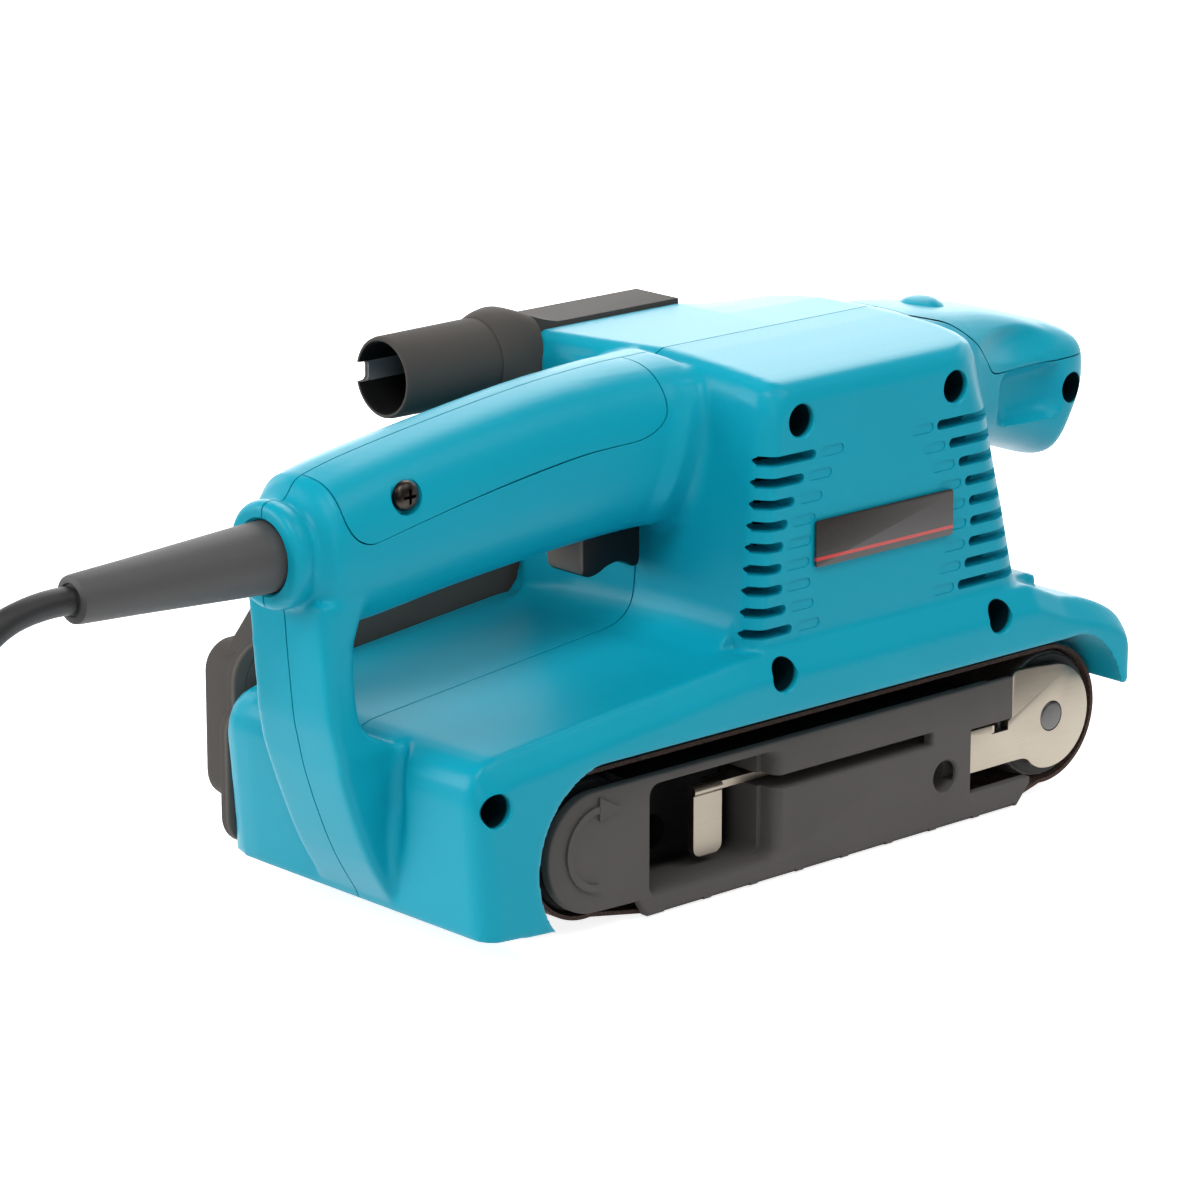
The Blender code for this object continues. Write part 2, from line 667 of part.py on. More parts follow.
def screws():
    for number, place in enumerate(SCREW_PLACES, 1):
        head = seat_depth(place) - GAP
        profile = [(0, head - 3.0), (SCREW_HEAD_R - 1, head - 3.0), (SCREW_HEAD_R, head - 1.5),
                   (SCREW_HEAD_R, head),
                   (SCREW_SHANK_R, head), (SCREW_SHANK_R, 13.0), (0, 13.0)]
        piece(turned(profile, "Y", (place[0], 0, place[1]), 10), f"housing_screw_{number}", DARK_STEEL)
    x, z = COVER_SCREW
    profile = [(0, -17.4), (SCREW_HEAD_R - 0.8, -17.2), (SCREW_HEAD_R, -16.0), (SCREW_HEAD_R, -14.8),
               (SCREW_SHANK_R, -14.8), (SCREW_SHANK_R, -1.0), (0, -1.0)]
    piece(turned(profile, "Y", (x, 0, z), 12), "handle_cover_screw", DARK_STEEL)


# Dust way and drive cover

def dust_housing():
    """Snail-shaped housing round the dust fan, with the duct and socket for the nozzle."""
    low = LEFT_SIDE - DUST_DEPTH
    axis = (MOTOR_X, 0, MOTOR_Z)
    made = rod("Y", axis, FAN_R + 6, low, LEFT_SIDE, 32)
    top = MOTOR_TOP + 1.3
    duct = prism([(-43, 114), (-18, 112), (MOTOR_X, 114), (MOTOR_X, top), (-40, top), (-43, top - 4)],
                 low, LEFT_SIDE + 4)
    way = (0, NOZZLE_Y, NOZZLE_Z)
    stations = [(NOZZLE_JOINT - 4, 116.9, 139.7, 11.4, 2.0), (NOZZLE_JOINT + 1, 115.6, top + 4.7, 11.9, 2.5),
                (-41.0, 114.6, top + 1.9, 11.6, 4.4), (-34.0, 114.3, top - 0.4, 11.3, 6.0)]
    saddle = loft([[(x, NOZZLE_Y + y, z) for x, y, z in oval(*station, 24)] for station in stations])
    made = join(made, duct, saddle)
    inside = [rod("Y", axis, FAN_R + 3, low - 2, LEFT_SIDE - 2.5, 32),
              block(-34, MOTOR_X - 2, low + 2.5, LEFT_SIDE + 1.5, 118, top - 2.4),
              rod("X", way, NOZZLE_R + GAP, NOZZLE_JOINT - 8, -40),
              rod("X", way, NOZZLE_R - NOZZLE_WALL, -42, -32),
              rod("Y", axis, SHAFT_R + 1, 40, 70)]
    return piece(cut(made, *inside), "dust_housing", CHARCOAL)


def dust_nozzle():
    """Plain tube for the dust bag, with a locking slot at its mouth."""
    way = (0, NOZZLE_Y, NOZZLE_Z)
    made = ring("X", way, NOZZLE_R - NOZZLE_WALL, NOZZLE_R, NOZZLE_MOUTH, -40 - GAP, 28)
    slot = block(NOZZLE_MOUTH - 2, NOZZLE_MOUTH + 9, NOZZLE_Y + 5, NOZZLE_Y + 14, NOZZLE_Z - 2.6,
                 NOZZLE_Z + 2.6)
    return piece(cut(made, slot), "dust_nozzle", CHARCOAL)


def tangent_loop(first, first_r, second, second_r, steps=7):
    """A closed loop round two circles, as a band lies on two pulleys."""
    dx, dz = second[0] - first[0], second[1] - first[1]
    way = atan2(dz, dx)
    lean = acos((first_r - second_r) / hypot(dx, dz))
    degrees = 180 / pi
    far = arc(*second, second_r, (way - lean) * degrees, (way + lean) * degrees, steps)
    near = arc(*first, first_r, (way + lean) * degrees, (way + 2 * pi - lean) * degrees, steps + 4)
    return far + near


ROLLER_AXIS = (REAR_X, AXLE_Z)
MOTOR_AXIS = (MOTOR_X, MOTOR_Z)


def cover_shape(grow, low, high):
    """The drive cover: a band round both pulleys and a box behind the drive roller."""
    band = prism(tangent_loop(ROLLER_AXIS, ROLLER_PULLEY_R + 3.6 + grow, MOTOR_AXIS,
                              MOTOR_PULLEY_R + 5.4 + grow), low, high)
    box = rounded(HANDLE_REAR + 8 - grow, REAR_X + 22 + grow, 20.0 - grow, 59.0 + grow, 6.0 + grow, 3)
    return join(band, prism(box, low, high))


def drive_belt_cover():
    """Deep cover over the drive belt, on a flange that reaches the base's rear edge."""
    made = cover_shape(4.0, COVER_IN, COVER_IN + 3.5)
    flange = rounded(BASE_REAR + 3.4, REAR_X + 26.0, BASE_FOOT + 0.2, 47.5, 8.0, 4)
    join(made, prism(flange, COVER_IN, COVER_IN + 3.5))
    join(made, cover_shape(2.0, COVER_IN + 1, COVER_IN + 16.0))
    cut(made, cover_shape(0.0, COVER_IN - 1, COVER_IN + 14.0))
    for x, z in COVER_SCREWS:
        join(made, rod("Y", (x, 0, z), 5.0, COVER_IN, COVER_IN + 4.0, 18))
        cut(made, rod("Y", (x, 0, z), SCREW_SHANK_R + GAP, COVER_IN - 2, COVER_IN + 8, 12))
    return piece(made, "drive_belt_cover", CHARCOAL)


COVER_SCREWS = [(HANDLE_REAR + 12.0, 12.6), ((REAR_X + MOTOR_X) / 2 + 12.6, (AXLE_Z + MOTOR_Z) / 2 - 17.4)]


def cover_screws():
    top = COVER_IN + 4.0 + GAP
    for number, (x, z) in enumerate(COVER_SCREWS, 1):
        profile = [(0, top + 2.4), (SCREW_HEAD_R - 1, top + 2.2), (SCREW_HEAD_R, top + 1.0),
                   (SCREW_HEAD_R, top),
                   (SCREW_SHANK_R, top), (SCREW_SHANK_R, LEFT_SIDE - 7), (0, LEFT_SIDE - 7)]
        piece(turned(profile, "Y", (x, 0, z), 10), f"belt_cover_screw_{number}", DARK_STEEL)


# Belt unit

def frame_outline():
    """The frame's right wall: round cap at the rear, lip below, notch for the arm in front."""
    return ([(-72.0, 6.6), (-69.0, FRAME_LIP), (67.0, FRAME_LIP), (72.0, NOTCH_LOW - 1.6),
             (72.0, NOTCH_LOW),
             (NOTCH_X, NOTCH_LOW), (NOTCH_X, NOTCH_HIGH), (FRAME_FRONT, NOTCH_HIGH),
             (FRAME_FRONT, FRAME_TOP)]
            + arc(REAR_X, AXLE_Z, CAP_R, 90, 262, 12))


def belt_frame():
    wall = prism(frame_outline(), FRAME_OUT, FRAME_IN)
    sole = 2 * GAP + BELT_THICK + SOLE_PLATE + GAP + SOLE_PAD
    body = block(REAR_X + ROLLER_R + 1.0, NOTCH_X - 1.0, FRAME_IN - 1, LEFT_WALL_IN - GAP, sole,
                 FRAME_TOP - 0.6)
    made = join(wall, body)
    for i in range(8):
        x = -64.0 + 16.6 * i
        cut(made, block(x, x + 14.0, FRAME_OUT - 2, FRAME_OUT + 0.8, FRAME_LIP - 1, FRAME_LIP + 0.9))
    window = rounded(WINDOW_REAR, WINDOW_FRONT, WINDOW_LOW, WINDOW_HIGH, 2.4, 2)
    inner = rounded(REAR_X + ROLLER_R + 3.2, WINDOW_FRONT, WINDOW_LOW, WINDOW_HIGH, 2.0, 2)
    cut(made, prism(window, FRAME_OUT - 2, FRAME_IN + 0.5),
        prism(inner, FRAME_IN - 1, FRAME_OUT + WINDOW_DEPTH))
    cut(made, block(WINDOW_FRONT - 4, SLOT_FRONT, FRAME_OUT - 2, FRAME_IN, SLOT_LOW, SLOT_HIGH))
    cut(made, block(WINDOW_FRONT - 4, LEVER_X + 7, FRAME_IN - 1, LEVER_Y + 7, SLOT_LOW, SLOT_HIGH))
    cut(made, rod("Y", (PEEP_X, 0, PEEP_Z), PEEP_R, FRAME_OUT - 2, FRAME_IN + 4, 20))
    behind = (FRAME_OUT + FRAME_SKIN, FRAME_IN + 2)
    cut(made, block(NOTCH_X - 4 - ARM_TRAVEL, 80, *behind, ARM_LOW - GAP, ARM_HIGH + GAP))
    cut(made, block(ARM_HEAD_X - ARM_TRAVEL - 2, 80, *behind, ARM_HIGH - 1, FRAME_TOP + 3))
    cut(made, rod("X", (0, 0, TRACK_Z), SPRING_R + SPRING_WIRE + GAP, 4, 80),
        rod("X", (0, 0, TRACK_Z), ROD_R + GAP, -12, 6))
    cut(made, rod("Z", (LEVER_X, LEVER_Y, 0), 2.0 + GAP, 18, 60, 14))
    axle = (REAR_X, 0, AXLE_Z)
    cut(made, rod("Y", axle, 6.7 + GAP, FRAME_OUT + 1.0, FRAME_IN + 1))
    return piece(made, "belt_frame", CHARCOAL)


def sole():
    y0, y1 = BELT_RIGHT + 1.0, BELT_LEFT - 1.0
    low = BELT_THICK + GAP
    piece(block(-SOLE_HALF + 2, SOLE_HALF - 2, y0, y1, low, low + SOLE_PLATE), "sole_plate", STEEL)
    low += SOLE_PLATE + GAP
    piece(block(-SOLE_HALF + 4, NOTCH_X - 2.0, y0, y1, low, low + SOLE_PAD), "sole_pad", CORK)


def sanding_belt():
    """The abrasive loop round both rollers, pressed down by the sole."""
    def loop(radius, low):
        front = arc(FRONT_X, AXLE_Z, radius, 90, -95, 14)
        rear = arc(REAR_X, AXLE_Z, radius, 275, 90, 14)
        return front + [(SOLE_HALF, low), (-SOLE_HALF, low)] + rear
    outer, inner = loop(BELT_OUT_R, 0.0), loop(BELT_IN_R, BELT_THICK)
    bm = bmesh.new()
    rows = [[bm.verts.new((x, y, z)) for x, z in shape]
            for shape, y in ((outer, BELT_RIGHT), (outer, BELT_LEFT), (inner, BELT_LEFT),
                             (inner, BELT_RIGHT))]
    count = len(outer)
    for a in range(4):
        for i in range(count):
            j = (i + 1) % count
            bm.faces.new((rows[a][i], rows[a][j], rows[(a + 1) % 4][j], rows[(a + 1) % 4][i]))
    return piece(solid(bm), "sanding_belt", GRIT)


DRIVE = axis_empty("drive_roller_axis", (REAR_X, 0.0, AXLE_Z), SANDER)
CARRIAGE = axis_empty("carriage", (FRONT_X, 0.0, AXLE_Z), SANDER)
FRONT = axis_empty("front_roller_axis", (FRONT_X, 0.0, AXLE_Z), CARRIAGE)
MOTOR = axis_empty("motor_axis", (MOTOR_X, 0.0, MOTOR_Z), SANDER)
LEVER = axis_empty("tension_lever_axis", (LEVER_X, LEVER_Y, SLOT_LOW), SANDER)
TRIGGER = axis_empty("trigger_axis", ((TRIGGER_REAR + TRIGGER_FRONT) / 2, 0.0, 90.0), SANDER)
LOCK = axis_empty("lock_button_axis", (LOCK_X, 0.0, LOCK_Z), SANDER)
TRACK = axis_empty("tracking_knob_axis", (TRACK_X, 0.0, TRACK_Z), SANDER)


def drive_roller():
    axle = (REAR_X, 0, AXLE_Z)
    low, high = BELT_RIGHT + 0.4, BELT_LEFT - 0.4
    crown = [(SHAFT_R + GAP, low), (SHAFT_R + GAP, high), (ROLLER_R - 0.8, high), (ROLLER_R, high - 6),
             (ROLLER_R, low + 6), (ROLLER_R - 0.8, low)]
    piece(turned(crown, "Y", axle, 28), "drive_roller", RUBBER, DRIVE)
    band_mid = COVER_IN + 8.0
    piece(rod("Y", axle, SHAFT_R, FRAME_OUT + 1.0 + GAP, band_mid + PULLEY_WIDE / 2 + 0.5),
          "drive_shaft", STEEL, DRIVE)
    piece(pulley(axle, ROLLER_PULLEY_R, band_mid, 20), "driven_pulley", ALUMINIUM, DRIVE)
    right = ring("Y", axle, SHAFT_R + GAP, 6.7, FRAME_OUT + 1.0 + GAP, low - GAP)
    piece(right, "drive_bush_right", BRASS)
    left = ring("Y", axle, SHAFT_R + GAP, 11.0, LEFT_WALL_IN + GAP, LEFT_WALL_IN + 7 - GAP)
    piece(left, "drive_bearing_left", STEEL)


def rib_lines(radius, mid):
    """Edge of a ribbed pulley or band across its width, as (radius, y) points."""
    start = mid - RIBS * RIB_PITCH / 2
    points = [(radius, start - 0.2)]
    for i in range(RIBS):
        points += [(radius, start + RIB_PITCH * i + 0.3),
                   (radius - RIB_DEEP, start + RIB_PITCH * (i + 0.5)),
                   (radius, start + RIB_PITCH * (i + 1) - 0.3)]
    return points + [(radius, start + RIBS * RIB_PITCH + 0.2)]


def pulley(axle, radius, mid, sides):
    low, high = mid - PULLEY_WIDE / 2, mid + PULLEY_WIDE / 2
    bore = min(SHAFT_R, radius - 2.2) + GAP
    edge = [(radius, low)] + rib_lines(radius, mid)[1:-1] + [(radius, high)]
    return turned([(bore, high), (bore, low)] + edge, "Y", axle, sides)


def drive_belt():
    """Ribbed band between the two pulleys."""
    mid = COVER_IN + 8.0
    inner = rib_lines(GAP, mid)
    section = inner + [(GAP + BAND_THICK, inner[-1][1]), (GAP + BAND_THICK, inner[0][1])]
    bm = bmesh.new()
    rows = []
    for off, y in section:
        loop = tangent_loop(ROLLER_AXIS, ROLLER_PULLEY_R + off, MOTOR_AXIS, MOTOR_PULLEY_R + off)
        rows.append([bm.verts.new((x, y, z)) for x, z in loop])
    count = len(rows[0])
    for a in range(len(rows)):
        b = (a + 1) % len(rows)
        for i in range(count):
            j = (i + 1) % count
            bm.faces.new((rows[a][i], rows[a][j], rows[b][j], rows[b][i]))
    return piece(solid(bm), "drive_belt", BLACK)


def arm_outline(rear):
    head = [(ARM_HEAD_X, ARM_HIGH), (ARM_HEAD_X, AXLE_Z + CAP_R - 2), (ARM_HEAD_X + 2, AXLE_Z + CAP_R)]
    bow = arc(FRONT_X, AXLE_Z, CAP_R, 90, -108, 14)
    return [(rear, ARM_LOW), (rear, ARM_HIGH)] + head + bow + [(ARM_HEAD_X + 7, ARM_LOW)]


def front_unit():
    """Bent steel arm with its spring rod, the axle it holds and the front roller."""
    rear = NOTCH_X - 2.0
    right = prism(arm_outline(rear), ARM_OUT, ARM_IN)
    left_in = BELT_LEFT + 0.5
    left = prism(arm_outline(FRAME_FRONT - 7.4), left_in, left_in + ARM_THICK)
    cross = block(FRAME_FRONT - 7.4, FRAME_FRONT - 5.0, ARM_OUT + 0.4, left_in + ARM_THICK - 0.4,
                  ARM_LOW + 0.4, ARM_HIGH - 0.4)
    push = turned([(0, FRAME_FRONT - 6), (ROD_R, FRAME_FRONT - 6), (ROD_R, 40), (SPRING_R + 1, 40),
                   (SPRING_R + 1, 37),
                   (ROD_R, 37), (ROD_R, 0), (0, 0)], "X", (0, 0, TRACK_Z), 18)
    made = join(right, left, cross, push)
    axle = (FRONT_X, 0, AXLE_Z)
    cut(made, rod("Y", axle, SHAFT_R + GAP, -60, 60, 24))
    piece(made, "roller_arm", STEEL, CARRIAGE)
    piece(rod("Y", axle, SHAFT_R, ARM_OUT - 0.3, left_in + ARM_THICK + 0.3, 24), "front_axle",
          DARK_STEEL, CARRIAGE)
    low, high = BELT_RIGHT + 0.4, BELT_LEFT - 0.4
    tube = [(8.0, low), (8.0, high), (ROLLER_R - 0.8, high), (ROLLER_R, high - 6), (ROLLER_R, low + 6),
            (ROLLER_R - 0.8, low)]
    piece(turned(tube, "Y", axle, 28), "front_roller", ALUMINIUM, FRONT)
    piece(ring("Y", axle, SHAFT_R + GAP, 8.0 - GAP, low, high, 24), "front_bush", BRASS, FRONT)


def helix(centre, radius, wire, turns, low, high, axis, name, look):
    """A wound spring as one tube; prints how near its turns come to each other."""
    count = turns * 9
    points = []
    for i in range(count + 1):
        turn = 2 * pi * turns * i / count
        along = low + (high - low) * i / count
        spot = {"X": (along, centre[1] + radius * cos(turn), centre[2] + radius * sin(turn)),
                "Z": (centre[0] + radius * cos(turn), centre[1] + radius * sin(turn), along)}[axis]
        points.append(Vector(spot))
    report_gap(name, points, wire, 9)
    return tube(points, wire, name, look, 1)


def report_gap(name, points, radius, apart):
    near = min((points[i] - points[j]).length for i in range(len(points)) for j in range(i + apart // 2,
                                                                                         len(points)))
    print(f"{name}: least gap to itself {near - 2 * radius:.2f} mm")


def tube(points, radius, name, look, resolution):
    """A round cord or wire along points, as a curve with filled caps."""
    line = bpy.data.curves.new(name, "CURVE")
    line.dimensions = "3D"
    line.bevel_depth = radius * MM
    line.bevel_resolution = resolution
    line.use_fill_caps = True
    spline = line.splines.new("POLY")
    spline.points.add(len(points) - 1)
    for spot, point in zip(spline.points, points):
        spot.co = (*(Vector(point) * MM), 1.0)
    line.materials.append(look)
    made = bpy.data.objects.new(name, line)
    bpy.context.scene.collection.objects.link(made)
    made.parent = SANDER
    return made


def tension_lever():
    """Sheet-steel lever in the slot, with the finger tab that hangs in the window."""
    low, high = SLOT_LOW + 0.8, SLOT_LOW + 0.8 + LEVER_SHEET
    half = LEVER_WIDTH / 2
    strip = [(TAB_REAR, LEVER_Y - half), (LEVER_X, LEVER_Y - half)] + arc(LEVER_X, LEVER_Y, half + 1.6,
                                                                          -90, 90, 8) \
        + [(LEVER_X, LEVER_Y + half), (TAB_REAR, LEVER_Y + half)]
    made = prism(strip, low, high, "Z")
    tab = rounded(TAB_REAR, TAB_FRONT, TAB_LOW, high - 0.2, 1.6, 2)
    join(made, prism(tab, LEVER_Y - half, LEVER_Y - half + LEVER_SHEET))
    cut(made, rod("Z", (LEVER_X, LEVER_Y, 0), 2.0 + GAP, 10, 40, 16))
    piece(made, "tension_lever", STEEL, LEVER)
    pin = rod("Z", (LEVER_X, LEVER_Y, 0), 2.0, 18 + GAP, FRAME_TOP - 1.0, 14)
    piece(pin, "lever_pin", DARK_STEEL)
    helix((0, 0, TRACK_Z), SPRING_R, SPRING_WIRE, SPRING_TURNS, 5.3, 35.8, "X", "tension_spring", STEEL)


def tracking_knob():
    """Screw knob on the left that leans the front roller so that the belt runs true."""
    knob_low = LEFT_SIDE + GAP
    profile = [(0, knob_low + 9), (TRACK_R - 1, knob_low + 9), (TRACK_R, knob_low + 8), (TRACK_R, knob_low),
               (2.5, knob_low), (2.5, LEFT_WALL_IN - 1.4), (0, LEFT_WALL_IN - 1.4)]
    made = turned(profile, "Y", (TRACK_X, 0, TRACK_Z), 24)
    for i in range(8):
        turn = 2 * pi * i / 8
        spot = (TRACK_X + (TRACK_R + 1.1) * cos(turn), 0, TRACK_Z + (TRACK_R + 1.1) * sin(turn))
        cut(made, rod("Y", spot, 1.9, knob_low + 1.5, knob_low + 12, 8))
    return piece(made, "tracking_knob", BLACK, TRACK)


# Motor

def motor():
    axis = (MOTOR_X, 0, MOTOR_Z)
    wall = MOTOR_RIGHT + END_WALL
    field = ring("Y", axis, STATOR_BORE, STATOR_R, -STATOR_HALF, STATOR_HALF, 32)
    for side in (-1, 1):
        x0, x1 = sorted((MOTOR_X + side * 10, MOTOR_X + side * 27))
        cut(field, block(x0, x1, -STATOR_HALF - 1, STATOR_HALF + 1, MOTOR_Z - 9, MOTOR_Z + 9))
    piece(field, "stator", LAMINATE)
    for name, side in (("field_coil_front", 1), ("field_coil_rear", -1)):
        x0, x1 = sorted((MOTOR_X + side * (ROTOR_R + 1.4), MOTOR_X + side * (27 - GAP)))
        piece(block(x0, x1, -STATOR_HALF - 0.6, STATOR_HALF + 3, MOTOR_Z - 8.7, MOTOR_Z + 8.7), name,
              COPPER)
    core = []
    for i in range(ROTOR_SLOTS):
        mid = 360 * i / ROTOR_SLOTS
        core += arc(0, 0, ROTOR_R, mid - 11, mid + 11, 2) + arc(0, 0, ROTOR_R - 7, mid + 13, mid + 17, 1)
    outline = [(MOTOR_X + x, MOTOR_Z + z) for x, z in core]
    laminations = prism(outline, -STATOR_HALF + 1, STATOR_HALF - 1)
    cut(laminations, rod("Y", axis, SHAFT_R + GAP, -60, 60))
    piece(laminations, "rotor_core", LAMINATE, MOTOR)
    band_mid = COVER_IN + 8.0
    thin = MOTOR_PULLEY_R - 2.2
    end = band_mid + PULLEY_WIDE / 2 + 0.5
    stepped = [(0, end), (thin, end), (thin, LEFT_SIDE - 2), (SHAFT_R, LEFT_SIDE - 2),
               (SHAFT_R, wall - BEARING_WIDE), (0, wall - BEARING_WIDE)]
    piece(turned(stepped, "Y", axis, 24), "rotor_shaft", STEEL, MOTOR)
    piece(ring("Y", axis, SHAFT_R + GAP, COMM_R, wall + 1, wall + 1 + COMM_LONG), "commutator", COPPER,
          MOTOR)
    fan(axis)
    piece(pulley(axis, MOTOR_PULLEY_R, band_mid, 14), "motor_pulley", STEEL, MOTOR)
    seats = (("motor_bearing_right", wall - BEARING_WIDE - GAP),
             ("motor_bearing_left", STATOR_HALF + 6 + GAP))
    for name, start in seats:
        piece(ring("Y", axis, SHAFT_R + GAP, BEARING_R, start, start + BEARING_WIDE), name, STEEL)
    brushes(wall)


def fan(axis):
    """Radial dust fan: a back plate, a hub and blades."""
    low = MOTOR_LEFT + GAP + 3.5
    made = ring("Y", axis, SHAFT_R + GAP, FAN_R, low, low + 1.6, 28)
    join(made, ring("Y", axis, SHAFT_R + GAP, 8.0, low + 0.5, low + 11, 20))
    for i in range(FAN_BLADES):
        turn = 2 * pi * i / FAN_BLADES
        along, across = Vector((cos(turn), sin(turn))), Vector((-sin(turn), cos(turn)))
        corners = [along * 7 - across * 0.8, along * (FAN_R - 1) - across * 0.8,
                   along * (FAN_R - 1) + across * 0.8,
                   along * 7 + across * 0.8]
        outline = [(axis[0] + c.x, axis[2] + c.y) for c in corners]
        join(made, prism(outline, low + 0.8, low + 10))
    piece(made, "dust_fan", ALUMINIUM, MOTOR)


def brushes(wall):
    """Carbon brushes in their brass boxes, one each side of the commutator."""
    mid = wall + GAP + 1.2 + BRUSH_WIDE / 2
    for name, side in (("front", 1), ("rear", -1)):
        def span(near, far):
            return sorted((MOTOR_X + side * near, MOTOR_X + side * far))
        half = BRUSH_WIDE / 2
        holder = block(*span(COMM_R + 2, 31), mid - half - 1.2, mid + half + 1.2, MOTOR_Z - 5.4,
                       MOTOR_Z + 5.4)
        cut(holder, block(*span(COMM_R, 40), mid - half - GAP, mid + half + GAP, MOTOR_Z - 4 - GAP,
                          MOTOR_Z + 4 + GAP))
        piece(holder, f"brush_holder_{name}", BRASS)
        carbon = block(*span(COMM_R + GAP, 26), mid - half, mid + half, MOTOR_Z - 4, MOTOR_Z + 4)
        piece(carbon, f"brush_{name}", CARBON)


# Switch and mains lead

def switch():
    front = MOTOR_X - 53.0
    piece(block(front - 36, front - 2, -SWITCH_HALF, SWITCH_HALF, SWITCH_LOW, SWITCH_HIGH),
          "switch_body", BLACK)
    rear, nose = TRIGGER_REAR, TRIGGER_FRONT
    outline = [(rear + 1.0, 96.0), (rear, 90.0), (rear, 84.0), (rear + 1.0, 81.6), (rear + 3.4, 80.4),
               (rear + 6.6, 80.8),
               (rear + 9.8, 82.2), (rear + 13.4, 82.8), (rear + 16.6, 82.0), (nose - 2.2, 80.6),
               (nose - 0.6, 81.0),
               (nose, 83.0), (nose, 93.0), (nose - 1.6, 96.0)]
    made = prism(outline, -TRIGGER_HALF, TRIGGER_HALF)
    piece(made, "trigger", BLACK, TRIGGER)
    helix((front - 12, 0, 0), 3.0, 0.5, 2, 96.9, 100.0, "Z", "trigger_spring", STEEL)
    low, high = SWITCH_HALF + LOCK_TRAVEL + 0.6, 20.4
    profile = [(0, high), (LOCK_R - 0.8, high), (LOCK_R, high - 0.8), (LOCK_R, low), (0, low)]
    piece(turned(profile, "Y", (LOCK_X, 0, LOCK_Z), 22), "lock_button", BLACK, LOCK)


GUARD_END = COLLAR_REAR - GUARD_OUT


def cord_guard():
    """Tapered rubber guard, held by its flange inside the collar."""
    seat = COLLAR_REAR + 8 + GAP
    profile = [(0, seat + 7), (GUARD_R + 3.5, seat + 7), (GUARD_R + 3.5, seat), (GUARD_R, seat),
               (GUARD_R, COLLAR_REAR - 2), (GUARD_R - 1.2, COLLAR_REAR - 24), (GUARD_TIP_R, GUARD_END),
               (0, GUARD_END)]
    return piece(turned(profile, "X", (0, 0, GUARD_Z), 26), "cord_guard", GUARD)


def smooth_through(points, steps):
    """Points on a smooth curve through a few chosen ones."""
    chosen = [Vector(p) for p in points]
    chosen = [2 * chosen[0] - chosen[1]] + chosen + [2 * chosen[-1] - chosen[-2]]
    line = []
    for a, b, c, d in zip(chosen, chosen[1:], chosen[2:], chosen[3:]):
        for i in range(steps):
            t = i / steps
            line.append(0.5 * ((2 * b) + (c - a) * t + (2 * a - 5 * b + 4 * c - d) * t ** 2
                               + (3 * b - a - 3 * c + d) * t ** 3))
    return line + [chosen[-2]]


# The lead's route where it isn't coiled: out of the guard, down, and along the floor to the coil
COIL_X = GUARD_END - COIL_BEHIND
LEAD_END = COIL_X + CORD_R * 2
ROUTE = [(GUARD_END - GAP, 0, GUARD_Z), (GUARD_END - 8, 0, GUARD_Z), (GUARD_END - 19, 0, 100.8),
         (GUARD_END - 29, 0, 94.2), (GUARD_END - 35.6, 0, 84.4), (GUARD_END - 38, 0, 73),
         (GUARD_END - 38.6, 0, 59),
         (GUARD_END - 39, 0, 46), (GUARD_END - 40.4, 0, 34), (GUARD_END - 44.6, 0, 23),
         (GUARD_END - 52, 0, 13.6),
         (GUARD_END - 62, 0, 7.2), (GUARD_END - 73, 0, COIL_LOW), (LEAD_END, 0, COIL_LOW)]


def coil_points():
    """The put-away lead: it spirals in and out again one layer up, and climbs where it turns back."""
    outer = COIL_R + COIL_STEP * COIL_TURNS
    climb_turns = 0.5
    total = COIL_LAYERS * COIL_TURNS + (COIL_LAYERS - 1) * climb_turns
    count = round(total * COIL_POINTS)
    points = []
    for i in range(count + 1):
        turn = total * i / count
        layer = min(COIL_LAYERS - 1, int(turn / (COIL_TURNS + climb_turns)))
        into = turn - layer * (COIL_TURNS + climb_turns)
        swept = min(into, COIL_TURNS)
        climb = max(0.0, into - COIL_TURNS) / climb_turns
        radius = outer - COIL_STEP * swept if layer % 2 == 0 else COIL_R + COIL_STEP * swept
        radius += COIL_BULGE * sin(pi * climb) * (-1 if layer % 2 == 0 else 1)
        height = COIL_LOW + COIL_STEP * (layer + climb * climb * (3 - 2 * climb))
        angle = -pi / 2 - 2 * pi * turn
        points.append(Vector((COIL_X + radius * cos(angle), outer + radius * sin(angle), height)))
    return points


def mains_lead():
    tube(smooth_through(ROUTE, 2), CORD_R, "cord_lead", BLACK, 2)
    turns = coil_points()
    report_gap("cord_coil", turns, CORD_R, COIL_POINTS)
    start = Vector((LEAD_END - GAP, turns[0].y, turns[0].z))
    way = Vector((1, 0, 0))
    end = turns[-1] + way * COIL_TAIL
    tail = [turns[-1].lerp(end, i / 3) for i in (1, 2, 3)]
    tube([start] + turns + tail, CORD_R, "cord_coil", BLACK, 1)
    cord_tie()
    plug(end.x + GAP, end.y, end.z)


def cord_tie():
    """Flat band that holds the coil together at its far side."""
    outer = COIL_R + COIL_STEP * COIL_TURNS
    x0, x1 = COIL_X - outer - CORD_R - 0.5, COIL_X - COIL_R + COIL_BULGE + CORD_R + 0.5
    z0, z1 = COIL_LOW - CORD_R - 0.4, COIL_LOW + COIL_STEP * (COIL_LAYERS - 1) + CORD_R + 0.4
    y0, y1 = outer - TIE_WIDE / 2, outer + TIE_WIDE / 2
    t = TIE_THICK
    made = prism(rounded(x0 - t, x1 + t, z0 - t, z1 + t, CORD_R + t), y0, y1)
    cut(made, prism(rounded(x0, x1, z0, z1, CORD_R), y0 - 2, y1 + 2))
    return piece(made, "cord_tie", RUBBER)


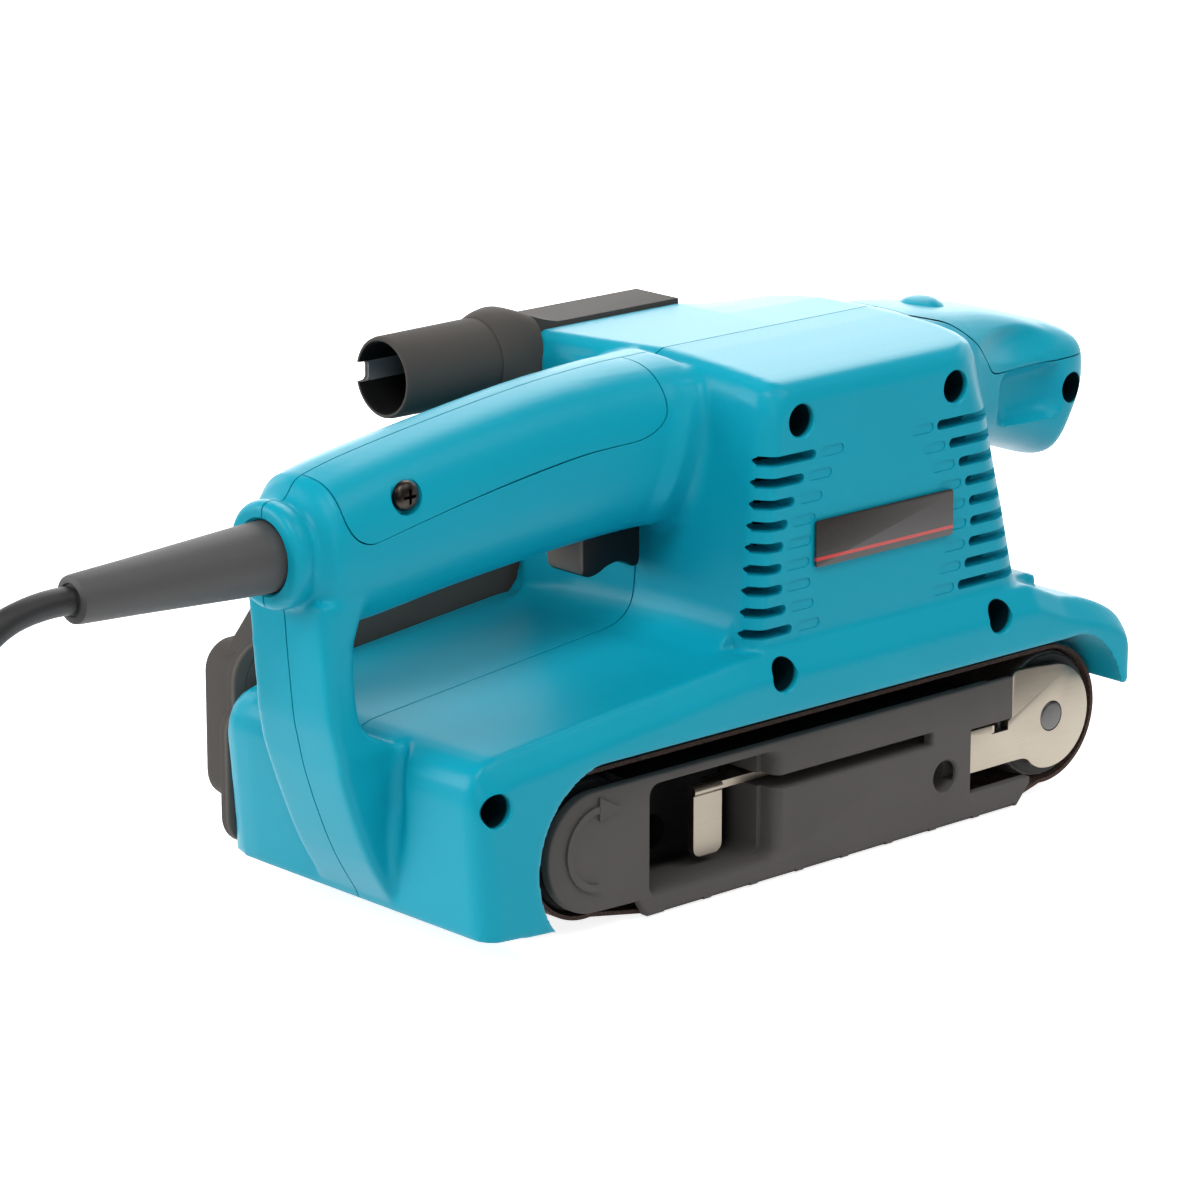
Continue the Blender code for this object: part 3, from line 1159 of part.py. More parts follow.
def plug(x, y, z):
    """Two-pin plug that lies on the floor beside the coil."""
    stations = [(x, 5.2, 5.2), (x + 9, 5.6, 5.8), (x + 15, 7.6, 9.5), (x + 21, 9.8, 14.5),
                (x + 25, 10.6, 16.6),
                (x + PLUG_LONG - 1, 10.6, 17.0), (x + PLUG_LONG, 9.6, 16.0)]
    rings = [[(px, y + py, pz) for px, py, pz in oval(sx, z - tall, z + tall, half, 2.4)] for sx, tall,
             half in stations]
    made = loft(rings)
    face = x + PLUG_LONG
    for side in (-1, 1):
        cut(made, rod("X", (0, y + side * PIN_APART / 2, z), PIN_R + GAP, face - 8, face + 5, 16))
    piece(made, "plug", BLACK)
    for number, side in enumerate((-1, 1), 1):
        tip = face + PIN_LONG
        profile = [(0, tip), (PIN_R - 1.2, tip), (PIN_R, tip - 1.5), (PIN_R, face - 8 + GAP),
                   (0, face - 8 + GAP)]
        piece(turned(profile, "X", (0, y + side * PIN_APART / 2, z), 16), f"plug_pin_{number}", BRASS)


def build():
    housing_right()
    housing_left()
    handle_cover()
    grip_cap()
    name_plate()
    screws()
    dust_housing()
    dust_nozzle()
    drive_belt_cover()
    cover_screws()
    belt_frame()
    sole()
    sanding_belt()
    drive_roller()
    drive_belt()
    front_unit()
    tension_lever()
    tracking_knob()
    motor()
    switch()
    cord_guard()
    mains_lead()


build()
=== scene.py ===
"""Handheld belt sander: the visual model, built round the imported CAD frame.

Shapes are in millimetres, and piece() turns them into metres; camera and lamps are in metres.
+X points to the front grip, +Y to the tool's left and +Z up.
"""
from math import acos, atan2, cos, hypot, pi, radians, sin

import bmesh
import bpy
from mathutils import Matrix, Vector


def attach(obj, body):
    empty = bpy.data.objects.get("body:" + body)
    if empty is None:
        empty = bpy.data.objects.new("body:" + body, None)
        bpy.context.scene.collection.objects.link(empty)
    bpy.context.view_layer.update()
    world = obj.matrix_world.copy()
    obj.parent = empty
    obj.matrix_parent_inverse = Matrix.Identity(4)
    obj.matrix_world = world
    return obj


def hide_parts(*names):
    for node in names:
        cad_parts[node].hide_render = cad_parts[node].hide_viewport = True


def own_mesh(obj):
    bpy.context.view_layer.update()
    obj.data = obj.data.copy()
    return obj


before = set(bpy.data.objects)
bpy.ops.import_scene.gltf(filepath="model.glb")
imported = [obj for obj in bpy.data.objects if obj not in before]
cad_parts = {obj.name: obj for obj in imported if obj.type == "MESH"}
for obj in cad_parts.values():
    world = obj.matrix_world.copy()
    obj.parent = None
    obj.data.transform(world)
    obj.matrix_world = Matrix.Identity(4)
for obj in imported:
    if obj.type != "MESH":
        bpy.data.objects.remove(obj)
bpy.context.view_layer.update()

# ---- camera, floor and studio light
# A long lens from behind the tool's right side, a white sweep under it, and large soft lamps
# overhead, behind, at both sides and by the camera.

AZIMUTH, ELEVATION = radians(-42.43), radians(15.51)
lens = bpy.data.cameras.new("camera")
lens.sensor_width = 36.0
lens.lens = 152.637
lens.clip_start, lens.clip_end = 0.01, 50.0


def linked(name, data):
    """A new object in the scene."""
    made = bpy.data.objects.new(name, data)
    bpy.context.scene.collection.objects.link(made)
    return made


camera = linked("camera", lens)
camera.location = (-0.9037, -0.9367, 0.4236)
sight = Vector((-sin(AZIMUTH) * cos(ELEVATION), cos(AZIMUTH) * cos(ELEVATION), -sin(ELEVATION)))
camera.rotation_euler = sight.to_track_quat("-Z", "Y").to_euler()
bpy.context.scene.camera = camera
bpy.context.scene.view_settings.view_transform = "Standard"


class Shade:
    """A shader socket that takes part in sums: each sum adds a Math node to its tree."""

    def __init__(self, tree, socket=None):
        self.tree = tree
        self.socket = socket

    def node(self, kind, settings=None, sockets=None, out=0):
        made = self.tree.nodes.new(kind)
        for key, value in (settings or {}).items():
            setattr(made, key, value)
        for key, value in (sockets or {}).items():
            if isinstance(value, Shade):
                self.tree.links.new(value.socket, made.inputs[key])
            else:
                made.inputs[key].default_value = value
        return Shade(self.tree, made.outputs[out])

    def math(self, operation, *values):
        return self.node("ShaderNodeMath", {"operation": operation}, dict(enumerate(values)))

    def __add__(self, other):
        return self.math("ADD", self, other)

    def __sub__(self, other):
        return self.math("SUBTRACT", self, other)

    def __rsub__(self, other):
        return self.math("SUBTRACT", other, self)

    def __mul__(self, other):
        return self.math("MULTIPLY", self, other)

    __radd__, __rmul__ = __add__, __mul__

    def step(self, low, high):
        """0 below low, 1 above high, smooth between."""
        return self.node("ShaderNodeMapRange", {"interpolation_type": "SMOOTHSTEP"},
                         {"Value": self, "From Min": low, "From Max": high})

    def noise(self, scale, detail=2.0):
        return self.node("ShaderNodeTexNoise", None,
                         {"Vector": self, "Scale": scale, "Detail": detail})

    def cells(self, scale):
        return self.node("ShaderNodeTexVoronoi", None, {"Vector": self, "Scale": scale})

    def stretched(self, x, y, z):
        """The same place with each axis scaled, for brushed and drawn patterns."""
        return self.node("ShaderNodeVectorMath", {"operation": "MULTIPLY"}, {0: self, 1: (x, y, z)})

    def axis(self, index):
        return self.node("ShaderNodeSeparateXYZ", None, {0: self}, out=index)

    def between(self, first, second):
        """A colour from first to second as this mask goes from 0 to 1."""
        pick = [c if isinstance(c, Shade) else (*c, 1.0) for c in (first, second)]
        return self.node("ShaderNodeMix", {"data_type": "RGBA"},
                         {0: self, 6: pick[0], 7: pick[1]}, out=2)

    def bump(self, strength, distance):
        return self.node("ShaderNodeBump", None,
                         {"Height": self, "Strength": strength, "Distance": distance})


def finish_of(name, paint):
    """A material whose shader takes what paint(place) gives for its sockets."""
    made = bpy.data.materials.new(name)
    made.use_nodes = True
    tree = made.node_tree
    shader = tree.nodes["Principled BSDF"]
    place = Shade(tree).node("ShaderNodeTexCoord", out=3)
    for socket, value in paint(place).items():
        if isinstance(value, Shade):
            tree.links.new(value.socket, shader.inputs[socket])
        elif isinstance(value, tuple):
            shader.inputs[socket].default_value = (*value, 1.0)
        else:
            shader.inputs[socket].default_value = value
    return made


def rays_of(tree, *kinds):
    """1 for rays of the named kinds, so that a backdrop shows without lighting anything."""
    path = tree.nodes.new("ShaderNodeLightPath")
    seen = Shade(tree, path.outputs[kinds[0]])
    for kind in kinds[1:]:
        seen = seen + Shade(tree, path.outputs[kind])
    return seen.math("MINIMUM", seen, 1.0)


def floor_paint(place):
    """White paper. What the camera sees of it grows to full white away from the tool."""
    far = place.node("ShaderNodeVectorMath", {"operation": "LENGTH"}, {0: place}, out=1)
    glow = far.step(0.30, 0.95).between((0.82, 0.82, 0.82), (1.0, 1.0, 1.0))
    # Seen in reflections the paper is painted light: it glows behind and near the tool, and its
    # colour is painted dark away from the tool except beyond its front.
    behind = (0.70 * place.axis(0) + 0.71 * place.axis(1)).step(0.15, 0.60)
    near = 1.0 - far.step(0.20, 0.36)
    right = place.axis(0).step(0.14, 0.26)
    mirrored = (behind + 0.9 * near).between((0.0, 0.0, 0.0), (1.4, 1.4, 1.4))
    glossy = rays_of(place.tree, "Is Glossy Ray")
    painted_reflection = glossy.between((0.0, 0.0, 0.0), mirrored)
    paper = place.noise(3.0).between((0.80, 0.80, 0.80), (0.82, 0.82, 0.82))
    lit = near.math("MAXIMUM", near, right).between((0.06, 0.06, 0.06), (0.80, 0.80, 0.80))
    seen = rays_of(place.tree, "Is Camera Ray", "Is Transmission Ray")
    return {"Base Color": glossy.between(paper, lit), "Roughness": 0.9, "Specular IOR Level": 0.0,
            "Emission Strength": 1.0, "Emission Color": seen.between(painted_reflection, glow)}


floor_form = bmesh.new()
bmesh.ops.create_grid(floor_form, x_segments=1, y_segments=1, size=6.0)
floor_mesh = bpy.data.meshes.new("floor")
floor_form.to_mesh(floor_mesh)
floor_form.free()
floor = linked("floor", floor_mesh)
floor_mesh.materials.append(finish_of("white_sweep", floor_paint))

world = bpy.data.worlds.new("studio")
world.use_nodes = True
bpy.context.scene.world = world
heading = Shade(world.node_tree).node("ShaderNodeTexCoord", out=0)
up = heading.axis(2)
behind = (0.70 * heading.axis(0) + 0.71 * heading.axis(1)).step(0.1, 0.7)
sweep = behind * (1.0 - up.step(0.40, 0.56)) * (0.50 + 0.50 * up.step(0.30, 0.40))
mirrored = sweep.between((0.06, 0.06, 0.06), (3.6, 3.6, 3.6))
sky = rays_of(world.node_tree, "Is Glossy Ray").between((0.30, 0.305, 0.31), mirrored)
sky = rays_of(world.node_tree, "Is Camera Ray", "Is Transmission Ray").between(sky, (1.0, 1.0, 1.0))
world.node_tree.links.new(sky.socket, world.node_tree.nodes["Background"].inputs["Color"])


def lamp(name, place, aim, size, tall, watts):
    light = bpy.data.lights.new(name, "AREA")
    light.shape = "ELLIPSE"
    light.size, light.size_y = size, tall
    light.energy = watts
    made = linked(name, light)
    made.location = place
    made.rotation_euler = (Vector(aim) - Vector(place)).to_track_quat("-Z", "Y").to_euler()


lamp("overhead", (0.62, 0.52, 0.92), (0.0, 0.0, 0.05), 0.70, 0.70, 6.3)
lamp("left_back_box", (-1.05, 0.80, 0.45), (-0.05, 0.0, 0.06), 0.8, 0.8, 10.0)
lamp("left_box", (-0.75, -0.42, 1.25), (-0.10, 0.0, 0.05), 0.7, 0.7, 9.0)
lamp("front_box", (-0.95, -1.35, 0.50), (-0.05, 0.0, 0.06), 0.4, 0.4, 1.8)
lamp("back_box", (1.0, 1.05, 0.34), (0.0, 0.0, 0.10), 1.3, 0.4, 4.0)
lamp("right_box", (0.35, -0.95, 1.25), (0.0, 0.0, 0.05), 0.9, 0.9, 6.0)

# ---- mains lead
# A round black rubber lead, 7 mm thick and about 1.9 m long. It leaves the guard level, falls
# to the floor outside the view, and the rest is wound in a neat coil that ends in the plug.

MM = 0.001
GAP = 0.3
GUARD_END, GUARD_Z = -216.6405, 103.0
CORD_R = 3.5
COIL_X, COIL_R, COIL_STEP, COIL_LOW = GUARD_END - 88.4, 30.2, 7.8, 5.2
COIL_TURNS, COIL_LAYERS, COIL_POINTS = 3.0, 2, 24
COIL_TAIL, COIL_BULGE, CLIMB_TURNS = 37.0, 2.2, 0.5
COIL_OUT = COIL_R + COIL_STEP * COIL_TURNS
LEAD_END = COIL_X + 2 * CORD_R
FALL = [(-0.3, 103.0), (-8, 103.0), (-19, 100.8), (-29, 94.2), (-35.6, 84.4), (-38, 73.0),
        (-38.6, 59.0), (-39, 46.0), (-40.4, 34.0), (-44.6, 23.0), (-52, 13.6), (-62, 7.2),
        (-73, COIL_LOW), (LEAD_END - GUARD_END, COIL_LOW)]


def along(points, steps):
    """Points on a smooth curve through a few chosen ones."""
    chosen = [Vector(p) for p in points]
    chosen = [2 * chosen[0] - chosen[1]] + chosen + [2 * chosen[-1] - chosen[-2]]
    line = []
    for a, b, c, d in zip(chosen, chosen[1:], chosen[2:], chosen[3:]):
        for i in range(steps):
            t = i / steps
            line.append(0.5 * ((2 * b) + (c - a) * t + (2 * a - 5 * b + 4 * c - d) * t ** 2
                               + (3 * b - a - 3 * c + d) * t ** 3))
    return line + [chosen[-2]]


def coil_points():
    """The put-away lead: it spirals in and out again, a layer higher each time."""
    total = COIL_LAYERS * COIL_TURNS + (COIL_LAYERS - 1) * CLIMB_TURNS
    count = round(total * COIL_POINTS)
    points = []
    for i in range(count + 1):
        turn = total * i / count
        layer = min(COIL_LAYERS - 1, int(turn / (COIL_TURNS + CLIMB_TURNS)))
        into = turn - layer * (COIL_TURNS + CLIMB_TURNS)
        swept = min(into, COIL_TURNS)
        climb = max(0.0, into - COIL_TURNS) / CLIMB_TURNS
        inward = layer % 2 == 0
        radius = COIL_OUT - COIL_STEP * swept if inward else COIL_R + COIL_STEP * swept
        radius += COIL_BULGE * sin(pi * climb) * (-1 if inward else 1)
        height = COIL_LOW + COIL_STEP * (layer + climb * climb * (3 - 2 * climb))
        angle = -pi / 2 - 2 * pi * turn
        spot = (COIL_X + radius * cos(angle), COIL_OUT + radius * sin(angle), height)
        points.append(Vector(spot))
    return points


lead_route = along([(GUARD_END + x, 0.0, z) for x, z in FALL], 2)
coil_route = coil_points()
cord_end = coil_route[-1] + Vector((COIL_TAIL, 0.0, 0.0))
lead_route += coil_route + [coil_route[-1].lerp(cord_end, i / 3) for i in (1, 2, 3)]
cord_line = bpy.data.curves.new("mains_cord", "CURVE")
cord_line.dimensions = "3D"
cord_line.bevel_depth = CORD_R * MM
cord_line.bevel_resolution = 5
cord_line.resolution_u = 3
cord_line.use_fill_caps = True
cord_spline = cord_line.splines.new("BEZIER")
cord_spline.bezier_points.add(len(lead_route) - 1)
for knot, point in zip(cord_spline.bezier_points, lead_route):
    knot.co = point * MM
    knot.handle_left_type = knot.handle_right_type = "AUTO"
mains_cord = linked("mains_cord", cord_line)


def plain(tone, dark, light, grain, rough, spread, relief, **more):
    """A plain finish: tone mixes its two colours, grain varies its roughness and its relief."""
    return {"Base Color": tone.between(dark, light), "Roughness": rough + spread * grain,
            "Normal": grain.bump(*relief), **more}


def grained(dark, light, grain, rough, spread, relief, tone=None, stretch=None, **more):
    """The painter of a plain finish; grain and tone are the scale and detail of its noises."""

    def paint(place):
        field = place.stretched(*stretch) if stretch else place
        fine = field.noise(*grain)
        coarse = field.noise(*tone) if tone else fine
        return plain(coarse, dark, light, fine, rough, spread, relief, **more)

    return paint


def cord_rubber(place):
    scuff = place.noise(90.0, 4.0).step(0.45, 0.75)
    return plain(scuff, (0.016, 0.016, 0.017), (0.030, 0.029, 0.029),
                 place.noise(1800.0), 0.48, 0.14, (0.12, 0.0002))


cord_finish = finish_of("cord_rubber", cord_rubber)
cord_line.materials.append(cord_finish)


def place_on(made, body, slot, *nodes):
    """The piece rides on a body and stands for the named nodes; slot is not used."""
    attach(made, body)
    if nodes:
        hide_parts(*nodes)
    return made


place_on(mains_cord, "sander", "cord_rubber", "cord_lead", "cord_coil")

# ---- plug and coil tie
# A moulded two-pin plug on the lead's end, with brass pins, and a flat rubber band that keeps
# the coil together. They keep their CAD shapes.


def dress(finish, *nodes):
    """Gives CAD nodes that keep their shape a finish."""
    for node in nodes:
        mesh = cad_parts[node].data
        mesh.materials.clear()
        mesh.materials.append(finish)


black_finish = finish_of("black_moulding", grained(
    (0.011, 0.011, 0.012), (0.019, 0.019, 0.020), (2200.0,), 0.34, 0.14, (0.10, 0.0002),
    tone=(35.0,)))
brass_finish = finish_of("brass", grained(
    (0.62, 0.44, 0.17), (0.74, 0.56, 0.26), (160.0, 3.0), 0.24, 0.2, (0.08, 0.0002),
    stretch=(1.0, 14.0, 14.0), Metallic=1.0))
dress(black_finish, "plug")
dress(cord_finish, "cord_tie")
dress(brass_finish, "plug_pin_1", "plug_pin_2")

# ---- cord guard
# A tapered sleeve of grey rubber. Its flange is caught between the two housing halves, and its
# thin end keeps the lead from bending sharply.

COLLAR_REAR = -158.6405


def turned(profile, axis, centre, steps=64):
    """A profile of (radius, along) points spun round an axis through centre."""
    form = bmesh.new()
    spots = []
    for radius, far in profile:
        spot = {"X": (far, centre[1], centre[2] + radius),
                "Y": (centre[0], far, centre[2] + radius),
                "Z": (centre[0] + radius, centre[1], far)}[axis]
        spots.append(form.verts.new(spot))
    lines = [form.edges.new(pair) for pair in zip(spots, spots[1:])]
    if profile[0][0] > 0.0:
        lines.append(form.edges.new((spots[-1], spots[0])))
    way = {"X": (1, 0, 0), "Y": (0, 1, 0), "Z": (0, 0, 1)}[axis]
    bmesh.ops.spin(form, geom=spots + lines, cent=centre, axis=way, angle=2 * pi, steps=steps,
                   use_merge=True)
    bmesh.ops.remove_doubles(form, verts=form.verts, dist=0.0005)
    bmesh.ops.recalc_face_normals(form, faces=form.faces)
    return form


def piece(form, name, finish, body, slot, *nodes, angle=35.0):
    """A form in millimetres becomes a finished piece in metres, smooth up to an angle."""
    mesh = bpy.data.meshes.new(name)
    bmesh.ops.scale(form, vec=(MM, MM, MM), verts=form.verts)
    form.to_mesh(mesh)
    form.free()
    mesh.shade_smooth()
    mesh.set_sharp_from_angle(angle=radians(angle))
    mesh.materials.append(finish)
    made = linked(name, mesh)
    return place_on(made, body, slot, *nodes)


grey_rubber = grained((0.058, 0.055, 0.055), (0.082, 0.078, 0.077), (1500.0, 3.0), 0.52, 0.16,
                      (0.18, 0.0002), tone=(28.0, 3.0))
seat = COLLAR_REAR + 8.3
guard_profile = [(0.0, seat + 7), (12.5, seat + 7), (12.5, seat), (9.0, seat),
                 (9.0, COLLAR_REAR - 2), (8.6, COLLAR_REAR - 10), (7.8, COLLAR_REAR - 24),
                 (6.9, COLLAR_REAR - 40), (6.1, GUARD_END + 1.6), (5.9, GUARD_END + 0.6),
                 (5.2, GUARD_END + 0.1), (4.2, GUARD_END), (3.9, GUARD_END + 0.6),
                 (0.0, GUARD_END + 0.8)]
piece(turned(guard_profile, "X", (0.0, 0.0, GUARD_Z)), "cord_guard_sleeve",
      finish_of("grey_rubber", grey_rubber), "sander", "grey_rubber", "cord_guard")

# ---- teal housing
# Two moulded halves that meet on the middle plane and are held by six screws from the right,
# with a separate handle cover and grip cap. One body is shaped first, then parted.

AXLE_Z, REAR_X, FRONT_X = 22.9, -87.6405, 81.6405
BASE_REAR, BASE_FRONT, HANDLE_REAR, NOSE_X = -133.0405, 105.0405, -131.0405, 119.0
LEFT_SIDE, LEFT_WALL_IN = 52.0, 42.0
MOTOR_RIGHT, MOTOR_LEFT, BLOCK_LEFT, MOTOR_X, MOTOR_Z = -45.0, 32.7, 38.0, 15.0, 97.0
REAR_AXIS, FRONT_AXIS = (REAR_X, 0.0, AXLE_Z), (FRONT_X, 0.0, AXLE_Z)
MOTOR_AXIS = (MOTOR_X, 0.0, MOTOR_Z)
VOXEL, SEAM = 0.9, 0.45
SWITCH_ROOM = (-75, -38, -9.8, 9.8, 92.0, 114.3)
TRIGGER_ROOM = (-61.4, -38.9, -6.8, 6.8, 80.0, 93.0)
LOCK, KNOB = (-60.0, 0.0, 106.0), (58.0, 0.0, 19.0)
COVER_SCREW = (-125.9405, 115.7)


def bow(x, z, radius, start, end, steps, tall=None):
    """Points on an arc, in degrees; tall is an ellipse's second radius."""
    turns = [radians(start + (end - start) * i / steps) for i in range(steps + 1)]
    return [(x + radius * cos(t), z + (tall or radius) * sin(t)) for t in turns]


def ring(form, points):
    spots = [form.verts.new(point) for point in points]
    return [form.edges.new(pair) for pair in zip(spots, spots[1:] + spots[:1])]


def loft(form, rings):
    """A closed skin through rings of points."""
    loops = [ring(form, points) for points in rings]
    for first, second in zip(loops, loops[1:]):
        bmesh.ops.bridge_loops(form, edges=first + second)
    for end in (loops[0], loops[-1]):
        bmesh.ops.contextual_create(form, geom=end)


def lofted(rings):
    form = bmesh.new()
    loft(form, rings)
    return form


def upright(outline, y):
    return [(x, y, z) for x, z in outline]


def prism(form, outline, low, high):
    """A side view outline pushed along Y."""
    face = form.faces.new([form.verts.new(point) for point in upright(outline, low)])
    grown = bmesh.ops.extrude_face_region(form, geom=[face], use_keep_orig=True)
    moved = [part for part in grown["geom"] if isinstance(part, bmesh.types.BMVert)]
    bmesh.ops.translate(form, vec=(0.0, high - low, 0.0), verts=moved)


def rounded(x0, x1, z0, z1, radius, steps=6):
    """A rectangle with round corners."""
    points = []
    for x, z, start in ((x1 - radius, z0 + radius, -90), (x1 - radius, z1 - radius, 0),
                        (x0 + radius, z1 - radius, 90), (x0 + radius, z0 + radius, 180)):
        points += bow(x, z, radius, start, start + 90, steps)
    return points


def base_outline(drop, rear_in, front_in):
    """Side view of the base: foot, rear arch, skirt edge, front arch, nose and deck."""
    rear, front = BASE_REAR + rear_in, BASE_FRONT - front_in
    arch = bow(REAR_X, AXLE_Z, 25.0, 219, 100.3, 24)
    front_arch = bow(FRONT_X, AXLE_Z, min(19.9, front - 1.5 - FRONT_X), 98, 17, 20, 24.5)
    nose = [(front, 30.0), (front, 41.0), (front - 0.8, 45.0 - 0.3 * drop),
            (front - 3.8, 49.3 - 0.6 * drop), (front - 9.5, 53.0 - 0.8 * drop),
            (front - 17.5, 56.3 - drop), (78.0, 58.5 - drop), (66.0, 63.8 - drop)]
    deck = [(-41.9, 63.8 - drop), (rear + 8.5, 55.1 - drop), (rear + 4.8, 54.0 - drop),
            (rear + 2.0, 51.8 - drop), (rear + 0.5, 48.6 - drop), (rear, 44.5 - drop)]
    return ([(rear + 3.0, 9.0)] + arch + front_arch + nose[:2]
            + [tuple(p) for p in along(nose[2:7], 3)] + nose[7:] + deck)


def motor_outline(top, rear_in, front_in, fall=0.0, lean=4.8, tuck=0.0):
    """Side view of the motor block; its top can fall to the front and its front edge tuck in."""
    rear, front = -31.0 + rear_in, 55.5 - front_in
    return [(rear - 1.1 * lean, 58.0), (rear - lean, 68.4), (rear, 117.0), (rear + 0.6, top - 5.6),
            (rear + 2.2, top - 2.0), (rear + 5.4, top), (15.0, top), (26.0, top - 0.55 * fall),
            (33.0, top - 0.8 * fall), (front - 5.4 - 5.1 * tuck, top - fall),
            (front - 1.9 - 5.3 * tuck, top - fall - 1.4),
            (front - 0.4 - 4.8 * tuck, top - fall - 4.4), (front - 2.9 * tuck, 120.4),
            (front + 1.1 - tuck, 112.7), (front + 2.6, 101.6), (front + 6.8, 86.3),
            (front + 11.2, 68.9), (front + 14.5, 58.0)]


def oval(x, low, high, half, power=2.7, count=56, middle=0.0):
    """A rounded cross-section at x of the handle, the grip or the dust duct."""
    points = []
    for i in range(count):
        across, up = cos(2 * pi * i / count), sin(2 * pi * i / count)
        size = (abs(across) ** power + abs(up) ** power) ** (-1 / power)
        points.append((x, middle + half * across * size,
                       (low + high) / 2 + (high - low) / 2 * up * size))
    return points


body_form = bmesh.new()
base_right = [(-50.0, 6.5, 4.0, 3.2), (-49.3, 5.1, 2.8, 2.2), (-48.0, 3.0, 1.4, 1.2),
              (-46.6, 0.7, 0.6, 0.5), (-46.0, 0.0, 0.4, 0.4), (-44.0, 0.0, 0.0, 0.1),
              (-42.0, 0.0, 0.0, 0.0), (1.0, 0.0, 0.0, 0.0)]
base_left = [(-1.0, 0.0, 0.0, 0.0), (40.0, 0.0, 0.0, 0.0), (46.0, 1.0, 0.4, 0.6),
             (49.5, 2.8, 1.4, 1.9), (52.0, 5.8, 4.0, 5.0)]
for sections in (base_right, base_left):
    loft(body_form, [upright(base_outline(d, r, f), y) for y, d, r, f in sections])
left_wall = [(BASE_REAR + 5, 9.0), (REAR_X - 19.0, 7.6), (FRONT_X - 22, 7.6), (FRONT_X, 9.5),
             (FRONT_X + 12, 17.0), (BASE_FRONT - 6, 30.0), (BASE_FRONT - 6, 42.0), (FRONT_X, 49.5),
             (REAR_X, 49.5), (BASE_REAR + 5, 44.0)]
prism(body_form, left_wall, LEFT_WALL_IN, LEFT_SIDE - 0.4)
prism(body_form, [(50, 50), (77, 50), (77, 62.2), (76.4, 63.3), (75, 63.8), (50, 63.8)],
      -38.5, 40.0)
motor_right = [(-45.0, 127.0, 3.4, 10.5, 0, 4.8, 1.0), (-44.6, 129.0, 2.8, 8.4, 0, 4.8, 1.0),
               (-43.7, 130.6, 2.1, 6.2, 0, 4.8, 1.0), (-42.3, 131.8, 1.2, 4.2, 0, 4.8, 1.0),
               (-41.0, 132.4, 0.5, 2.8, 0, 4.8, 0.9), (-39.5, 132.8, 0.0, 1.7, 0, 4.8, 0.8),
               (-36.0, 133.2, 0.0, 0.4, 0, 4.8, 0.55), (-30.0, 133.7, 0.0, 0.0, 0, 4.8, 0.2),
               (-24.0, 134.1, 0.0, 0.0), (-10.0, 134.8, 0.0, 0.0), (1.0, 135.0, 0.0, 0.0)]
motor_left = [(-1.0, 135.0, 0.0, 0.0, 0.0, 4.8), (18.7, 135.0, -4.6, 0.0, 0.4, 3.2),
              (28.0, 135.0, -6.4, 0.2, 1.4, 2.6), (37.2, 135.0, -8.4, 0.6, 2.8, 2.0),
              (BLOCK_LEFT, 134.6, -8.0, 1.8, 2.8, 2.0)]
for sections in (motor_right, motor_left):
    loft(body_form, [upright(motor_outline(*sizes), y) for y, *sizes in sections])
rear_fillet = [(-28.0, 56.0), (-62.0, 56.0), (-61.5, 61.4), (-47.5, 63.0), (-42.3, 64.1),
               (-38.6, 66.0), (-36.4, 69.0), (-35.2, 73.1), (-34.6, 78.0), (-28.0, 80.0)]
loft(body_form, [[(x - back, y, z) for x, z in rear_fillet]
                 for y, back in ((-37.0, 0.0), (0.0, 0.0), (18.7, 3.0), (BLOCK_LEFT - 0.6, 3.5))])
left_web = [(-8.0, 56.0), (-46.0, 56.0), (-41.6, 60.0), (-36.3, 61.4), (-33.4, 64.2), (-32.1, 68.3),
            (-31.6, 84.0), (-8.0, 84.0)]
prism(body_form, left_web, 30.0, 49.5)
handle = [(-30.0, 90.0, 134.8, 23.0), (-38.0, 90.5, 134.7, 19.5), (-50.0, 90.6, 134.5, 18.3),
          (-74.0, 89.4, 132.8, 17.6), (-107.0, 86.4, 128.6, 17.0), (-134.0, 83.2, 124.3, 17.0),
          (-147.0, 84.0, 121.3, 16.8)]
grip = [(38.0, 92.0, 134.4, 27.0), (52.0, 92.0, 134.4, 26.6), (62.0, 93.6, 133.8, 25.5),
        (72.0, 94.0, 132.5, 23.0), (84.0, 92.6, 130.6, 21.0), (95.0, 89.8, 128.0, 20.5),
        (104.0, 86.6, 125.2, 20.5), (106.5, 86.4, 124.6, 20.4), (109.0, 89.2, 123.9, 20.1),
        (112.0, 94.0, 122.9, 19.4), (115.0, 99.0, 121.6, 18.2), (117.5, 103.4, 120.0, 16.0),
        (119.0, 107.0, 117.6, 12.0)]
for stations, power in ((handle, 2.7), (grip, 3.2)):
    loft(body_form, [oval(*station, power) for station in along(stations, 4)])
collar = [(-140.6, 20.0, 17.0), (-147.6, 17.9, 16.8), (-149.8, 15.6, 15.2), (-151.2, 13.6, 13.6),
          (-152.6, 12.8, 12.8), (-154.4, 13.7, 13.7), (-157.2, 13.6, 13.6), (-158.64, 12.4, 12.4)]
loft(body_form, [oval(x, GUARD_Z - tall, GUARD_Z + tall, half, 2.2)
                 for x, tall, half in along(collar, 3)])
post = [(9.0, 2.0, 16.0, 0.0), (22.6, -6.2, 16.0, 0.0), (36.3, -12.0, 13.0, 0.0),
        (47.0, -15.6, 11.0, 0.4), (52.0, -16.8, 3.0, 0.9), (56.0, -17.7, -5.5, 0.7),
        (61.0, -18.7, -9.3, 0.3), (70.0, -19.6, -10.5, 0.0), (80.0, -20.5, -10.5, 0.2),
        (92.0, -21.3, -7.0, 0.8)]
post_rings = []
for z, rear, front, flare in along(post, 3):
    outline = rounded(HANDLE_REAR + rear, HANDLE_REAR + front, -15.0 - flare, 15.0 + flare, 1.8, 3)
    post_rings.append([(x, y, z) for x, y in outline])
loft(body_form, post_rings)
bmesh.ops.recalc_face_normals(body_form, faces=body_form.faces)


